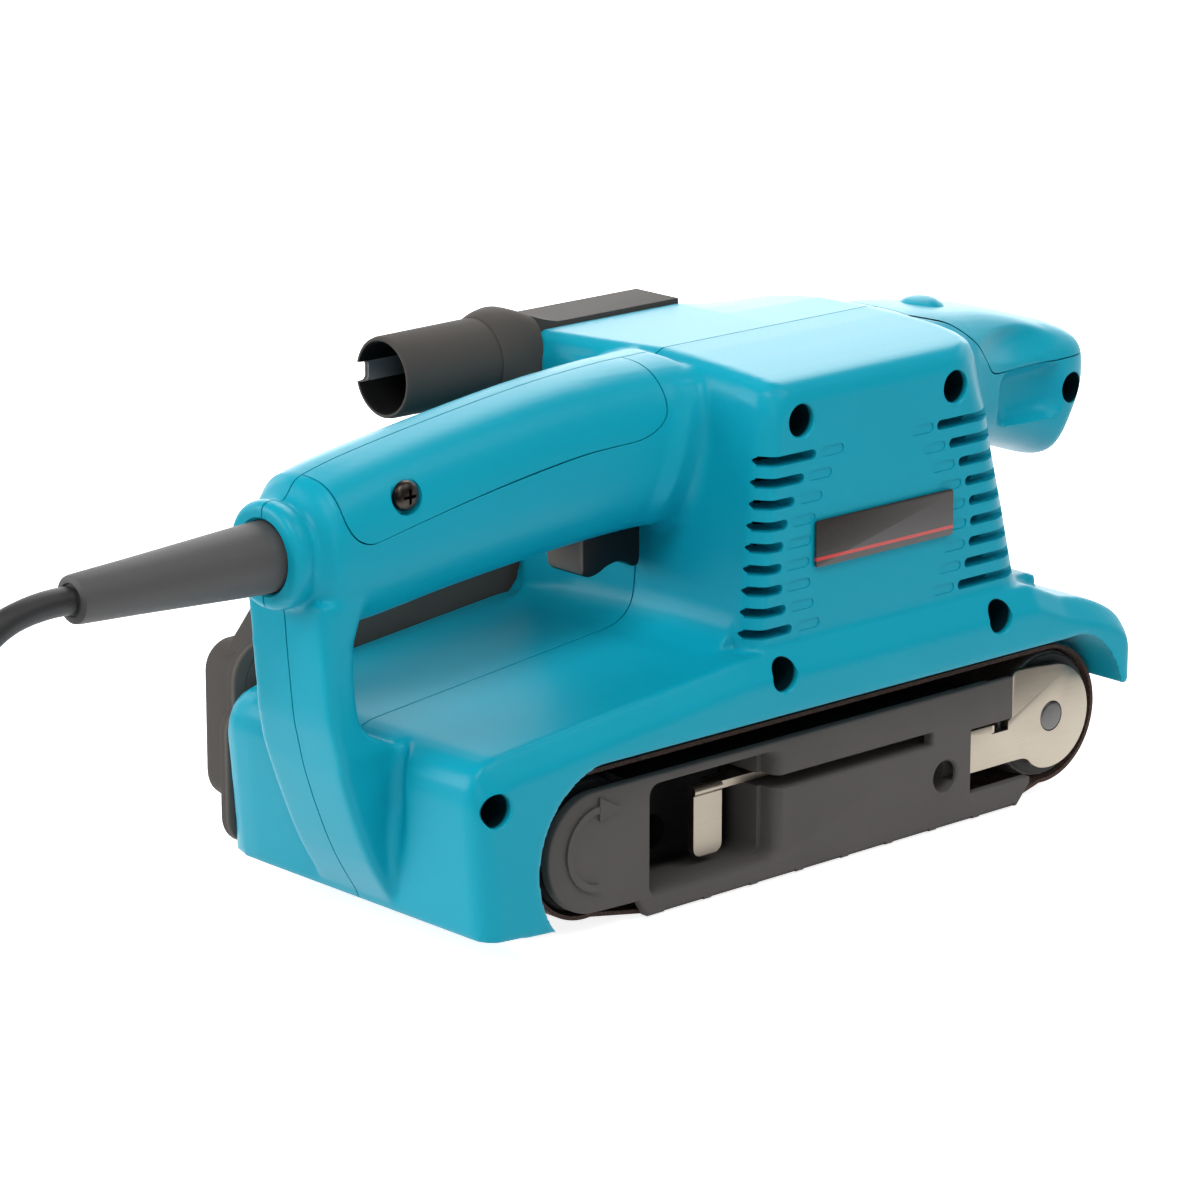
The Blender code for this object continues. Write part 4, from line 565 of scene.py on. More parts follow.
def as_tool(form, name):
    """A form in millimetres as an object that other pieces are cut with."""
    bmesh.ops.recalc_face_normals(form, faces=form.faces)
    mesh = bpy.data.meshes.new(name)
    form.to_mesh(mesh)
    form.free()
    return linked(name, mesh)


def seen_mesh(made):
    """The mesh of an object with its modifiers, or of a curve with its bevel."""
    bpy.context.view_layer.update()
    seen = made.evaluated_get(bpy.context.evaluated_depsgraph_get())
    return bpy.data.meshes.new_from_object(seen)


def settle(made):
    """Makes an object's modifiers part of its mesh."""
    mesh = seen_mesh(made)
    made.modifiers.clear()
    made.data = mesh


def carve(made, *forms, operation="DIFFERENCE"):
    """Cuts forms out of an object, one after another."""
    for form in forms:
        tool = as_tool(form, "cutter")
        change = made.modifiers.new("carve", "BOOLEAN")
        change.solver = "MANIFOLD"
        change.operation = operation
        change.object = tool
        settle(made)
        bpy.data.objects.remove(tool, do_unlink=True)


def join(made, *forms):
    carve(made, *forms, operation="UNION")


def form_of(made):
    """The form of an object, which goes away."""
    form = bmesh.new()
    form.from_mesh(made.data)
    bpy.data.objects.remove(made, do_unlink=True)
    return form


body = as_tool(body_form, "housing_body")
fuse = body.modifiers.new("fuse", "REMESH")
fuse.mode = "VOXEL"
fuse.voxel_size = VOXEL
settle(body)


def ease(form, box, rounds):
    """Rounds off what lies in a box, as the mould's fillets do."""
    low, high = box
    near = [v for v in form.verts if all(low[i] < v.co[i] < high[i] for i in range(3))]
    for _ in range(rounds):
        bmesh.ops.smooth_vert(form, verts=near, factor=0.5, use_axis_x=True, use_axis_y=True,
                              use_axis_z=True)


def dent(form, centre, reach, push, soft=2.0, power=2):
    """Presses a hollow into the surface, oval or boxy by its power; push is depth and direction."""
    for v in form.verts:
        away = sum(((v.co[i] - centre[i]) / reach[i]) ** power for i in range(3))
        if away < 1.0:
            v.co += Vector(push) * (1.0 - away) ** soft


def crest(form, side, reach, push):
    """Raises a soft edge down the corner between the handle and the motor block."""
    heights = (92.0, 95.6, 98.6, 105.1, 111.9, 118.7, 125.6, 130.1)
    places = (-21.5, -20.2, -18.5, -15.8, -13.8, -12.3, -11.2, -12.7)
    for v in form.verts:
        if -60 < v.co.x < -24 and 5 < side * v.co.y < 30 and heights[0] < v.co.z < heights[-1]:
            step = max(i for i, z in enumerate(heights[:-1]) if v.co.z >= z)
            part = (v.co.z - heights[step]) / (heights[step + 1] - heights[step])
            line = places[step] + part * (places[step + 1] - places[step])
            away = abs(0.738 * v.co.x + side * 0.675 * v.co.y - line) / reach
            if away < 1.0:
                v.co += Vector(push) * (1.0 - away)


flow = bmesh.new()
flow.from_mesh(body.data)
ease(flow, ((-200, -60, -5), (150, 60, 150)), 2)
for side in (-1, 1):
    near, far = sorted((side * 6, side * 32))
    ease(flow, ((-62, near, 82), (-28, far, 133)), 18)
    near, far = sorted((side * 13, side * 24))
    ease(flow, ((-134, near, 40), (-104, far, 66)), 10)
ease(flow, ((-160, -20, 78), (-122, 20, 94)), 8)
ease(flow, ((44, -33, 86), (68, 33, 131)), 16)
for side in (-1, 1):
    dent(flow, (-134.0, side * 17.6, 45.0), (9.0, 5.0, 24.0), (3.6, 0.0, 0.0))
    dent(flow, (90.0, side * 21.5, 122.6), (22.0, 9.0, 6.0), (0.0, -side * 3.4, 0.0), 1.6)
    dent(flow, (92.0, side * 20.6, 107.6), (13.4, 9.0, 8.2), (0.0, -side * 5.4, 0.0), 1.1, 4)
    crest(flow, side, 4.6, (-0.9, side * 0.9, 0.0))
flow.to_mesh(body.data)
flow.free()


def copy_of(made, name):
    return linked(name, made.data.copy())


def half_space(side):
    form = bmesh.new()
    y0, y1 = (-200.0, -SEAM / 2) if side < 0 else (SEAM / 2, 200.0)
    prism(form, [(-300, -50), (300, -50), (300, 300), (-300, 300)], y0, y1)
    return form


def pushed(outline, low, high):
    form = bmesh.new()
    prism(form, outline, low, high)
    return form


def grip_seam(shrink):
    curve = along([(53.0, 133.6), (58.0, 132.4), (62.1, 130.9), (67.6, 126.5), (71.8, 121.9),
                   (74.0, 117.6), (76.4, 115.8), (81.0, 115.4)], 4)
    low = [(53 + shrink, 150.0)] + [(p.x + 0.7 * shrink, p.y + 0.7 * shrink) for p in curve]
    return low + [(NOSE_X + 8, 114.6 + shrink), (NOSE_X + 8, 150.0)]


def cover_seam(shrink):
    front, rear = -41.0, HANDLE_REAR
    behind = ((-15.1, 120.0), (-15.0, 116.0), (-14.6, 112.8), (-13.4, 109.9), (-11.6, 107.7),
              (-9.4, 106.3), (-6.9, 105.7), (-4.4, 105.9), (4.0, 107.5), (20.0, 110.4),
              (33.2, 112.6), (44.0, 114.2), (55.0, 115.7), (64.0, 116.7))
    before = ((-18.0, 117.1), (-12.0, 117.3), (-7.8, 117.7), (-3.5, 119.2), (-0.7, 121.2),
              (0.7, 123.6), (1.1, 126.7), (1.1, 130.0))
    low = along([(rear + x, z) for x, z in behind] + [(front + x, z) for x, z in before], 3)
    low += [Vector((front + 1.1, 150.0)), Vector((rear - 15.1, 150.0))]
    middle = Vector(((front + rear) / 2, 135.0))
    return [tuple(p + (middle - p).normalized() * shrink) for p in low]


def guard_hole():
    steps = ((0.0, 16), (12.8, 16), (12.8, 8), (9.3, 8), (9.3, 0.7), (10.0, -0.1), (10.0, -4),
             (0.0, -4))
    return turned([(radius, COLLAR_REAR + far) for radius, far in steps], "X", (0.0, 0.0, GUARD_Z))


def box_form(x0, x1, y0, y1, z0, z1):
    return pushed([(x0, z0), (x1, z0), (x1, z1), (x0, z1)], y0, y1)


def bore(axis, centre, radius, low, high, steps=48):
    return turned([(0.0, high), (radius, high), (radius, low), (0.0, low)], axis, centre, steps)


# Each screw's place, the face that it is sunk from and how deep.
SCREWS = [(-126.6405, 42.9, -50.0, 22.0), (-28.6, 58.0, -50.0, 22.0), (51.5, 58.2, -50.0, 22.0),
          (-19.0, 122.4, -45.0, 22.0), (37.4, 122.4, -45.0, 22.0), (110.0, 106.5, -20.5, 10.0)]
RECESS_R = 4.4


def painted_recess_shade(place):
    """1 on the walls of the screw recesses, where painted shade makes them dark."""
    deep = None
    for x, z, face, _ in SCREWS:
        dx, dz = place.axis(0) - x * MM, place.axis(2) - z * MM
        painted_inside = 1.0 - (dx * dx + dz * dz).step(((RECESS_R + 0.1) * MM) ** 2,
                                                ((RECESS_R + 0.25) * MM) ** 2)
        painted_inside = painted_inside * place.axis(1).step((face + 0.9) * MM, (face + 2.4) * MM)
        painted_inside = painted_inside * (1.0 - place.axis(1).step((face + 22.5) * MM, (face + 23.5) * MM))
        deep = painted_inside if deep is None else deep.math("MAXIMUM", deep, painted_inside)
    return deep


def teal_moulding(place):
    cloud = place.noise(16.0, 3.0)
    grain = place.noise(2400.0, 2.0)
    speck = place.cells(900.0)
    tint = (0.8 * cloud + 0.2 * grain).between((0.002, 0.300, 0.415), (0.003, 0.356, 0.486))
    # Painted shade: the walls of the screw recesses are near black teal.
    return {"Base Color": painted_recess_shade(place).between(tint, (0.001, 0.014, 0.020)),
            "Roughness": 0.27 + 0.12 * grain + 0.05 * cloud, "Specular IOR Level": 0.16,
            "Normal": (grain + 0.4 * speck).bump(0.06, 0.0002)}


teal = finish_of("teal_moulding", teal_moulding)


def presented(made, name, finish, body, slot, *nodes, angle=35.0):
    """A carved object in millimetres becomes a finished piece."""
    form = form_of(made)
    bmesh.ops.remove_doubles(form, verts=form.verts, dist=0.002)
    return piece(form, name, finish, body, slot, *nodes, angle=angle)


def shell(made, name, node):
    presented(made, name, teal, "sander", "teal_moulding", node, angle=32.0)


VENT_LOW, VENT_TALL = 67.0, 2.7
VENT_ROWS = [(VENT_LOW + 5.59 * row, 0.46 * (row - 2.9) ** 2) for row in range(9)]


def slot_end(x0, x1, z0, z1, steps=6):
    """A slot with round ends."""
    return rounded(x0, x1, z0, z1, (z1 - z0) / 2 - 0.01, steps)


def vents(deep):
    """Air slots in two fans of nine, cut less deep over the slanted rear and front edges."""
    form = bmesh.new()
    for z, spread in VENT_ROWS:
        edge = 56.0 - 0.23 * (z - VENT_LOW)
        if deep:
            fans = ((-40.4 + 0.099 * (z - 20.0), -25.9 + spread), (43.5 - 1.1 * spread, edge - 1.0))
        else:
            fans = ((-52.0, -27.0), (edge - 2.6, 80.0))
        for x0, x1 in fans:
            prism(form, slot_end(x0, x1, z, z + VENT_TALL), MOTOR_RIGHT - 3,
                  MOTOR_RIGHT + (10.0 if deep else 4.4))
    return form


def blind_vents():
    """Shallow outlines that carry each slot on across the face."""
    form = bmesh.new()
    for z, spread in VENT_ROWS:
        for x0 in (-24.5 + spread, 33.6 - 1.1 * spread):
            prism(form, slot_end(x0, x0 + 8.5, z, z + VENT_TALL), MOTOR_RIGHT - 3,
                  MOTOR_RIGHT + 0.28)
    return form


def finger_arch():
    """The handle's lower edge rises round the trigger."""
    line = along([(-72.0, 86.0), (-66.0, 88.2), (-60.0, 89.6), (-54.9, 90.3), (-47.9, 91.7),
                  (-40.6, 93.1), (-38.4, 93.4)], 4)
    return pushed([tuple(p) for p in line] + [(-38.4, 82.0), (-72.0, 82.0)], -16.0, 16.0)


def recess(x, z, face, depth):
    return turned([(0.0, face + depth), (RECESS_R, face + depth), (RECESS_R, face + 0.5),
                   (5.1, face - 0.2), (5.1, -70.0), (0.0, -70.0)], "Y", (x, 0.0, z), 40)


right = copy_of(body, "right")
carve(right, half_space(-1), operation="INTERSECT")
carve(right, pushed(grip_seam(0.0), -60, 60), pushed(cover_seam(0.0), -60, 5), guard_hole(),
      pushed([(-26.5, 66.2), (60.0, 66.2), (49.5, 117.0), (-26.5, 117.0)], -36, -5),
      vents(True), vents(False), blind_vents(), box_form(*SWITCH_ROOM), finger_arch(),
      box_form(*TRIGGER_ROOM), *(recess(*screw) for screw in SCREWS))
shell(right, "right_shell", "housing_right")

left = copy_of(body, "left")
carve(left, half_space(1), operation="INTERSECT")
carve(left, pushed(grip_seam(0.0), -60, 60), guard_hole(), bore("Y", MOTOR_AXIS, 32.3, -5.0, 24.0),
      bore("Y", MOTOR_AXIS, 35.2, MOTOR_LEFT, 60.0, 96),
      bore("Y", MOTOR_AXIS, 36.1, BLOCK_LEFT + 0.05, 60.0, 96),
      box_form(*SWITCH_ROOM), finger_arch(), box_form(*TRIGGER_ROOM),
      bore("Y", LOCK, 4.5, 5.0, 40.0),
      bore("Y", REAR_AXIS, 11.3, LEFT_WALL_IN - 2, LEFT_WALL_IN + 7),
      bore("Y", REAR_AXIS, 5.0, LEFT_WALL_IN + 5, 60.0), bore("Y", KNOB, 2.8, 40.0, 60.0))
shell(left, "left_shell", "housing_left")

cover = copy_of(body, "cover")
carve(cover, half_space(-1), pushed(cover_seam(SEAM), -60, 5), operation="INTERSECT")
screw_well = [(0.0, -14.5), (4.6, -14.5), (4.8, -16.6), (5.6, -18.0), (5.6, -40.0), (0.0, -40.0)]
carve(cover, guard_hole(), box_form(*SWITCH_ROOM),
      turned(screw_well, "Y", (COVER_SCREW[0], 0.0, COVER_SCREW[1]), 40))
shell(cover, "handle_cover_shell", "handle_cover")

cap = copy_of(body, "cap")
carve(cap, pushed(grip_seam(SEAM), -60, 60), operation="INTERSECT")
bump = [(0.0, 135.0), (2.0, 134.85), (4.2, 134.2), (6.0, 133.0), (7.0, 131.6), (7.4, 130.4),
        (7.4, 129.0), (0.0, 129.0)]
join(cap, turned(bump, "Z", (69.7, 0.0, 0.0)))
shell(cap, "grip_cap_shell", "grip_cap")
bpy.data.objects.remove(body, do_unlink=True)

# ---- label place
# A thin dark plate glued into the motor block's right face. It is left bare, with one thin red
# line along its lower edge.

PLATE = (-14.6, 36.0, 83.1, 95.5)


def rimmed(outline, low, high, width, segments=2):
    """A prism along Y whose two rims are rounded."""
    form = pushed(outline, low, high)
    rims = [e for e in form.edges if abs(e.verts[0].co.y - e.verts[1].co.y) < 1e-6]
    bmesh.ops.bevel(form, geom=rims, offset=width, offset_type="OFFSET", affect="EDGES",
                    segments=segments, profile=0.5, material=-1, clamp_overlap=True)
    bmesh.ops.recalc_face_normals(form, faces=form.faces)
    return form


def plain_label(place):
    high = place.axis(2)
    line = high.step(0.08485, 0.08495) - high.step(0.08575, 0.08585)
    print_grain = place.noise(700.0, 3.0)
    dark = print_grain.between((0.019, 0.015, 0.014), (0.027, 0.021, 0.019))
    return plain(line, dark, (0.55, 0.018, 0.016), print_grain, 0.28, 0.12, (0.05, 0.0001))


piece(rimmed(rounded(*PLATE, 1.0), MOTOR_RIGHT - 1.1, MOTOR_RIGHT - GAP, 0.25), "label_plate",
      finish_of("plain_label", plain_label), "sander", "plain_label", "name_plate")

# ---- screws
# Blackened steel screws with cross heads. Six sit deep in the housing's recesses, one holds the
# handle cover and two hold the drive cover.

DRIVE_SCREWS = ((-119.0405, 12.6),
                ((REAR_X + MOTOR_X) / 2 + 12.6, (AXLE_Z + MOTOR_Z) / 2 - 17.4))
dark_steel = finish_of("blackened_steel", grained(
    (0.020, 0.018, 0.016), (0.085, 0.072, 0.062), (420.0, 4.0), 0.26, 0.22, (0.12, 0.0001),
    Metallic=1.0))


def cross_head(x, z, top, seat, tip, name, node):
    """A pan-head screw along Y; top is its head's outer side."""
    out = 1.0 if top > seat else -1.0
    rim = [(0.0, top), (1.6, top - 0.1 * out), (2.9, top - 0.5 * out), (3.6, top - 1.1 * out),
           (3.9, top - 1.9 * out), (3.9, seat), (1.9, seat), (1.9, tip), (0.0, tip)]
    screw = as_tool(turned(rim, "Y", (x, 0.0, z), 40), name)
    for along_x, along_z in ((2.3, 0.48), (0.48, 2.3)):
        carve(screw, lofted([[(x + sx * along_x * k, top + out * far, z + sz * along_z * k)
                              for sx, sz in ((-1, -1), (1, -1), (1, 1), (-1, 1))]
                             for far, k in ((0.6, 1.0), (-1.5, 0.62))]))
    piece(form_of(screw), name, dark_steel, "sander", "blackened_steel", node)


cross_head(*COVER_SCREW, top=-17.4, seat=-14.8, tip=-1.0, name="cover_screw",
           node="handle_cover_screw")
for number, (level, spot) in enumerate(zip(("low", "high"), DRIVE_SCREWS), 1):
    cross_head(*spot, top=59.0, seat=56.6, tip=45.0, name=f"drive_cover_screw_{level}",
               node=f"belt_cover_screw_{number}")
for number, (x, z, face, depth) in enumerate(SCREWS, 1):
    head = face + depth - GAP
    cross_head(x, z, top=head - 3.0, seat=head, tip=13.0, name=f"body_screw_{number}",
               node=f"housing_screw_{number}")

# ---- dust housing and nozzle
# A charcoal moulding round the dust fan on the left. Its duct runs back beside the motor block
# to a saddle, and the nozzle for a dust bag is pressed into it.

NOZZLE_Y, NOZZLE_Z = 44.5, 128.3


def charcoal_moulding(place):
    grain = place.noise(2600.0)
    return plain(0.7 * place.noise(24.0, 3.0) + 0.3 * grain, (0.060, 0.055, 0.050),
                 (0.084, 0.076, 0.070), grain, 0.66, 0.14, (0.10, 0.0002),
                 **{"Specular IOR Level": 0.14})


charcoal = finish_of("charcoal_moulding", charcoal_moulding)
disc = [(0.0, 52.0), (28.0, 52.0), (31.5, 51.1), (34.0, 48.8), (35.4, 45.6), (35.8, 42.5),
        (35.8, BLOCK_LEFT + GAP), (34.9, BLOCK_LEFT + GAP), (34.9, 33.0), (0.0, 33.0)]
fan_room = [(0.0, 49.5), (28.0, 49.5), (32.0, 47.6), (33.6, 45.0), (33.6, 31.0), (0.0, 31.0)]
duct_side = [(-38, 114.0), (-18, 112.0), (15, 114.0), (17, 124.0), (16, 136.0), (-38, 136.0)]
saddle_rings = [(-51.0, 116.9, 139.3, 11.3, 2.0), (-50.4, 116.6, 139.7, 11.6, 2.0),
                (-48.4, 115.6, 140.5, 11.9, 2.1), (-46.0, 114.6, 140.85, 12.1, 2.3),
                (-43.5, 113.6, 140.95, 12.1, 2.6), (-41.0, 113.0, 140.6, 12.0, 3.0),
                (-38.6, 113.0, 139.8, 11.8, 3.5), (-36.0, 113.0, 138.7, 11.6, 4.2),
                (-32.0, 113.0, 137.2, 11.5, 5.5), (-27.0, 113.0, 135.9, 11.4, 8.0)]
snail = as_tool(turned(disc, "Y", MOTOR_AXIS, 96), "snail")
duct = as_tool(rimmed(duct_side, BLOCK_LEFT - 2.0, 56.0, 1.2, 3), "duct")
join(duct, lofted([oval(*sizes, 72, NOZZLE_Y) for sizes in along(saddle_rings, 3)]))
carve(duct, box_form(-37.6, 30.0, 20.0, BLOCK_LEFT + GAP, 100.0, 150.0))
join(snail, form_of(duct))
carve(snail, turned(fan_room, "Y", MOTOR_AXIS, 80), box_form(-34.0, 13.0, 40.2, 53.5, 118.0, 133.9),
      bore("X", (0.0, NOZZLE_Y, NOZZLE_Z), 11.05, -55.0, -40.0),
      bore("X", (0.0, NOZZLE_Y + 2.0, NOZZLE_Z - 1.0), 6.2, -42.0, -32.0),
      bore("Y", MOTOR_AXIS, 5.0, 40.0, 60.0))
presented(snail, "dust_fan_housing", charcoal, "sander", "charcoal_moulding", "dust_housing")

tube_profile = [(9.25, -40.3), (10.75, -40.3), (10.75, -46.0), (10.95, -51.2), (11.05, -53.0),
                (10.8, -81.6), (10.6, -82.6), (10.2, -83.0), (9.6, -82.9), (9.3, -82.3),
                (9.25, -81.0)]
tube = as_tool(turned(tube_profile, "X", (0.0, NOZZLE_Y, NOZZLE_Z), 96), "tube")
mouth_slot = rounded(-90.0, -79.6, NOZZLE_Z - 2.6, NOZZLE_Z + 2.6, 1.6)
carve(tube, lofted([upright(mouth_slot, y) for y in (49.0, 59.0)]))


def nozzle_charcoal(place):
    """The same moulding, with painted shade near black inside and a painted stripe of light where
    it falls in by the slot.
    """
    paint = charcoal_moulding(place)
    across, up = place.axis(1) - MM * NOZZLE_Y, place.axis(2) - MM * NOZZLE_Z
    outside = (across * across + up * up).step(0.0095 ** 2, 0.0099 ** 2)
    painted_light_stripe = across.step(0.0, 0.002) * up.step(-0.0027, -0.0025) * (1.0 - up.step(0.0025, 0.0027))
    # Painted shade inside the tube, with a painted stripe of light by the slot.
    painted_inside = painted_light_stripe.between((0.006, 0.006, 0.006), (0.16, 0.17, 0.18))
    paint["Base Color"] = outside.between(painted_inside, paint["Base Color"])
    return paint


presented(tube, "dust_bag_nozzle", finish_of("nozzle_charcoal", nozzle_charcoal), "sander",
          "charcoal_moulding", "dust_nozzle")

# ---- drive cover
# A deep charcoal cover on the tool's left over the ribbed drive belt: a band round both pulleys
# and a box behind the drive roller, on a flat flange held by two screws.

COVER_IN = LEFT_SIDE + GAP


def pulley_loop(first, first_r, second, second_r, steps=28):
    """A closed loop round two circles, as a band lies on two pulleys."""
    dx, dz = second[0] - first[0], second[1] - first[1]
    way, lean = atan2(dz, dx), acos((first_r - second_r) / hypot(dx, dz))
    degrees = 180 / pi
    far = bow(*second, second_r, (way - lean) * degrees, (way + lean) * degrees, steps)
    return far + bow(*first, first_r, (way + lean) * degrees, (way + 2 * pi - lean) * degrees,
                     steps)


def cover_layer(grow, low, high, edge):
    """The cover's outline at one size: the band with the box joined to it."""
    band = pulley_loop((REAR_X, AXLE_Z), 17.6 + grow, (MOTOR_X, MOTOR_Z), 10.4 + grow)
    layer = as_tool(rimmed(band, low, high, edge, 4), "layer")
    box = rounded(HANDLE_REAR + 8 - grow, REAR_X + 22 + grow, 20.0 - grow, 59.0 + grow,
                  6.0 + grow, 8)
    join(layer, rimmed(box, low, high, edge, 4))
    return layer


def shoulder(grow, low, high, edge):
    """The cover's upper part, which slopes from the box up to the motor."""
    rear, reach = HANDLE_REAR + 10 - grow, 10.4 + grow
    side = [(rear, 45.0), (rear, 58.0 + grow), (HANDLE_REAR + 18 - 0.7 * grow, 68.6 + 0.7 * grow),
            (HANDLE_REAR + 22, 70.6 + grow), (MOTOR_X - 0.29 * reach, MOTOR_Z + 0.957 * reach),
            (MOTOR_X, MOTOR_Z), (REAR_X + 14.0, AXLE_Z + 10.0)]
    return rimmed(side, low, high, edge, 4)


drive_cover = cover_layer(4.0, COVER_IN, COVER_IN + 3.5, 0.7)
flange = rounded(BASE_REAR + 3.4, REAR_X + 26.0, 9.2, 47.5, 8.0, 8)
join(drive_cover, rimmed(flange, COVER_IN, COVER_IN + 3.5, 0.7, 4),
     form_of(cover_layer(2.0, COVER_IN + 1, COVER_IN + 16, 2.2)),
     shoulder(2.0, COVER_IN + 0.5, COVER_IN + 9, 1.4))
carve(drive_cover, form_of(cover_layer(0.0, COVER_IN - 1, COVER_IN + 14, 0.8)),
      shoulder(0.0, COVER_IN - 1, COVER_IN + 7, 0.5))
for x, z in DRIVE_SCREWS:
    join(drive_cover, bore("Y", (x, 0.0, z), 5.0, COVER_IN, COVER_IN + 4.0))
    carve(drive_cover, bore("Y", (x, 0.0, z), 2.2, COVER_IN - 2, COVER_IN + 8))


def cover_charcoal(place):
    """The same moulding, with painted light that makes the side facing the tool paler grey."""
    paint = charcoal_moulding(place)
    inner = 1.0 - place.axis(1).step(0.0532, 0.0538)
    # Painted light: the side facing the tool is paler grey.
    paint["Base Color"] = inner.between(paint["Base Color"], (0.115, 0.102, 0.092))
    return paint


# The cover's finish, with painted light on its inner side.
painted_light_charcoal = finish_of("cover_charcoal", cover_charcoal)
presented(drive_cover, "drive_cover", painted_light_charcoal, "sander", "charcoal_moulding",
          "drive_belt_cover")
back_plate = cover_layer(-0.3, COVER_IN + 0.1, COVER_IN + 1.5, 0.2)
join(back_plate, shoulder(-0.3, COVER_IN + 0.1, COVER_IN + 1.5, 0.2))
carve(back_plate, *(bore("Y", axis, 5.0, COVER_IN - 2, COVER_IN + 4)
                    for axis in (REAR_AXIS, MOTOR_AXIS)))
presented(back_plate, "drive_back_plate", painted_light_charcoal, "sander", "charcoal_moulding")

# ---- belt frame
# A charcoal moulding inside the sanding belt that carries both rollers. Its right wall has a
# round rear cap with a running arrow, a finger window, the lever's slot and a notched lip.

FRAME_OUT, FRAME_IN, FRAME_TOP = -42.4, -39.2, 37.8
NOTCH_X, NOTCH_LOW, NOTCH_HIGH = 48.6, 8.0, 26.0
SLOT_LOW, SLOT_HIGH = 24.6, 28.2
ROD, LEVER_PIN = (0.0, 0.0, 19.0), (38.0, -30.0, 0.0)
ARROW = (REAR_X + 1.0, AXLE_Z)


def well(outline_of, stations):
    """A cutter through rings of one outline; stations are (depth in the frame's wall, growth)."""
    return lofted([upright(outline_of(grow), FRAME_OUT + deep) for deep, grow in stations])


frame_side = ([(-72.6, 5.6), (-69.6, 0.8), (67.0, 0.8), (72.0, NOTCH_LOW - 1.6), (72.0, NOTCH_LOW),
               (NOTCH_X, NOTCH_LOW), (NOTCH_X, NOTCH_HIGH), (64.6, NOTCH_HIGH),
               (64.6, FRAME_TOP - 0.6), (64.0, FRAME_TOP)]
              + bow(REAR_X, AXLE_Z - 0.9, 15.9, 90, 266, 48))
frame_wall = as_tool(rimmed(frame_side, FRAME_OUT, FRAME_IN, 0.55, 3), "frame_wall")
join(frame_wall, box_form(-68.6, 47.6, FRAME_IN - 1, 41.7, 5.5, 36.7))
lip_notches = bmesh.new()
for i in range(8):
    notch = [(x - 64.0 + 16.6 * i, z) for x, z in ((0, 0), (14, 0), (14, 1.7), (0, 1.7))]
    prism(lip_notches, notch, FRAME_OUT - 2, FRAME_OUT + 0.9)
carve(frame_wall, lip_notches)


def window_side(grow):
    return rounded(-68.2 - grow, -23.8 + 2.2 * grow, 6.1 - grow, 34.8 + grow, 2.6 + grow)


def lever_slot_side(grow):
    return rounded(-34.0, 33.7 + grow, SLOT_LOW - grow, SLOT_HIGH + grow, 0.6 + grow)


def peep_side(grow):
    return bow(38.8, 15.0, 4.4 + grow, 0, 351, 39)


carve(frame_wall,
      well(window_side, ((-1, 1.5), (0, 1.15), (0.35, 0.8), (1.6, 0.25), (3.0, 0.0), (6.4, 0.0))),
      pushed(rounded(-66.4, -25.4, 6.1, 34.8, 2.6), -37.0, -21.4),
      well(lever_slot_side, ((-1, 0.9), (0, 0.5), (0.4, 0.1), (0.8, 0.0), (4.4, 0.0))),
      box_form(-30.0, 45.0, -39.0, -23.0, SLOT_LOW, SLOT_HIGH),
      well(peep_side, ((-1, 0.9), (0, 0.5), (0.5, 0.0), (8.2, 0.0))),
      box_form(36.6, 80.0, -41.0, -37.2, 12.7, 25.3),
      box_form(55.8, 80.0, -41.0, -37.2, 24.0, 40.3),
      bore("X", ROD, 6.7, 4.0, 80.0), bore("Z", LEVER_PIN, 2.3, 18.0, 60.0),
      bore("Y", REAR_AXIS, 7.0, FRAME_OUT + 1.0, FRAME_IN + 1),
      bore("Y", (-49.2, 0.0, 13.9), 4.7, -22.0, -12.0))
arrow_shaft = bow(*ARROW, 11.2, 92, 268, 36) + bow(*ARROW, 9.3, 268, 92, 36)
arrow_tip = [(REAR_X + 0.8, AXLE_Z + 13.4), (REAR_X + 0.8, AXLE_Z + 7.2),
             (REAR_X + 8.0, AXLE_Z + 9.4)]
for side in (arrow_shaft, arrow_tip):
    join(frame_wall, pushed(side, FRAME_OUT - 0.8, FRAME_OUT + 0.6))


def frame_charcoal(place):
    """The same moulding, with painted shade, near black, behind its outer wall and on the ledge
    along its top.
    """
    paint = charcoal_moulding(place)
    across = place.axis(1)
    painted_inside = across.step(-0.0285, -0.0235)
    ledge = across.step(-0.0390, -0.0384) * place.axis(2).step(0.0345, 0.0355)
    painted_inside = painted_inside.math("MAXIMUM", painted_inside, ledge)
    face = place.noise(24.0, 3.0).between((0.092, 0.085, 0.081), (0.128, 0.118, 0.112))
    # Painted shade: near black inside the frame and on its top ledge.
    paint["Base Color"] = painted_inside.between(face, (0.008, 0.008, 0.008))
    return paint


presented(frame_wall, "belt_carrier", finish_of("frame_charcoal", frame_charcoal), "sander",
          "charcoal_moulding", "belt_frame")

# ---- sanding belt
# A cloth loop, 76 mm wide and 457 mm round, with brown grit glued to its outside. The sole
# presses its lower run flat, and a slanted joint closes it.

BELT = (-38.4, 37.6)


def belt_loop(radius, low):
    front = bow(FRONT_X, AXLE_Z, radius, 90, -95, 40)
    rear = bow(REAR_X, AXLE_Z, radius, 275, 90, 40)
    level = [(66.0 - 132.0 * i / 12, low) for i in range(13)]
    return front + level + rear


def abrasive_cloth(place):
    grit = place.cells(1500.0)
    clump = place.noise(220.0, 4.0)
    tone = clump.between((0.016, 0.009, 0.007), (0.042, 0.021, 0.014))
    return {"Base Color": grit.step(0.25, 0.75).between(tone, (0.070, 0.036, 0.024)),
            "Roughness": 0.82 + 0.12 * grit, "Normal": (grit + clump).bump(0.55, 0.0004)}


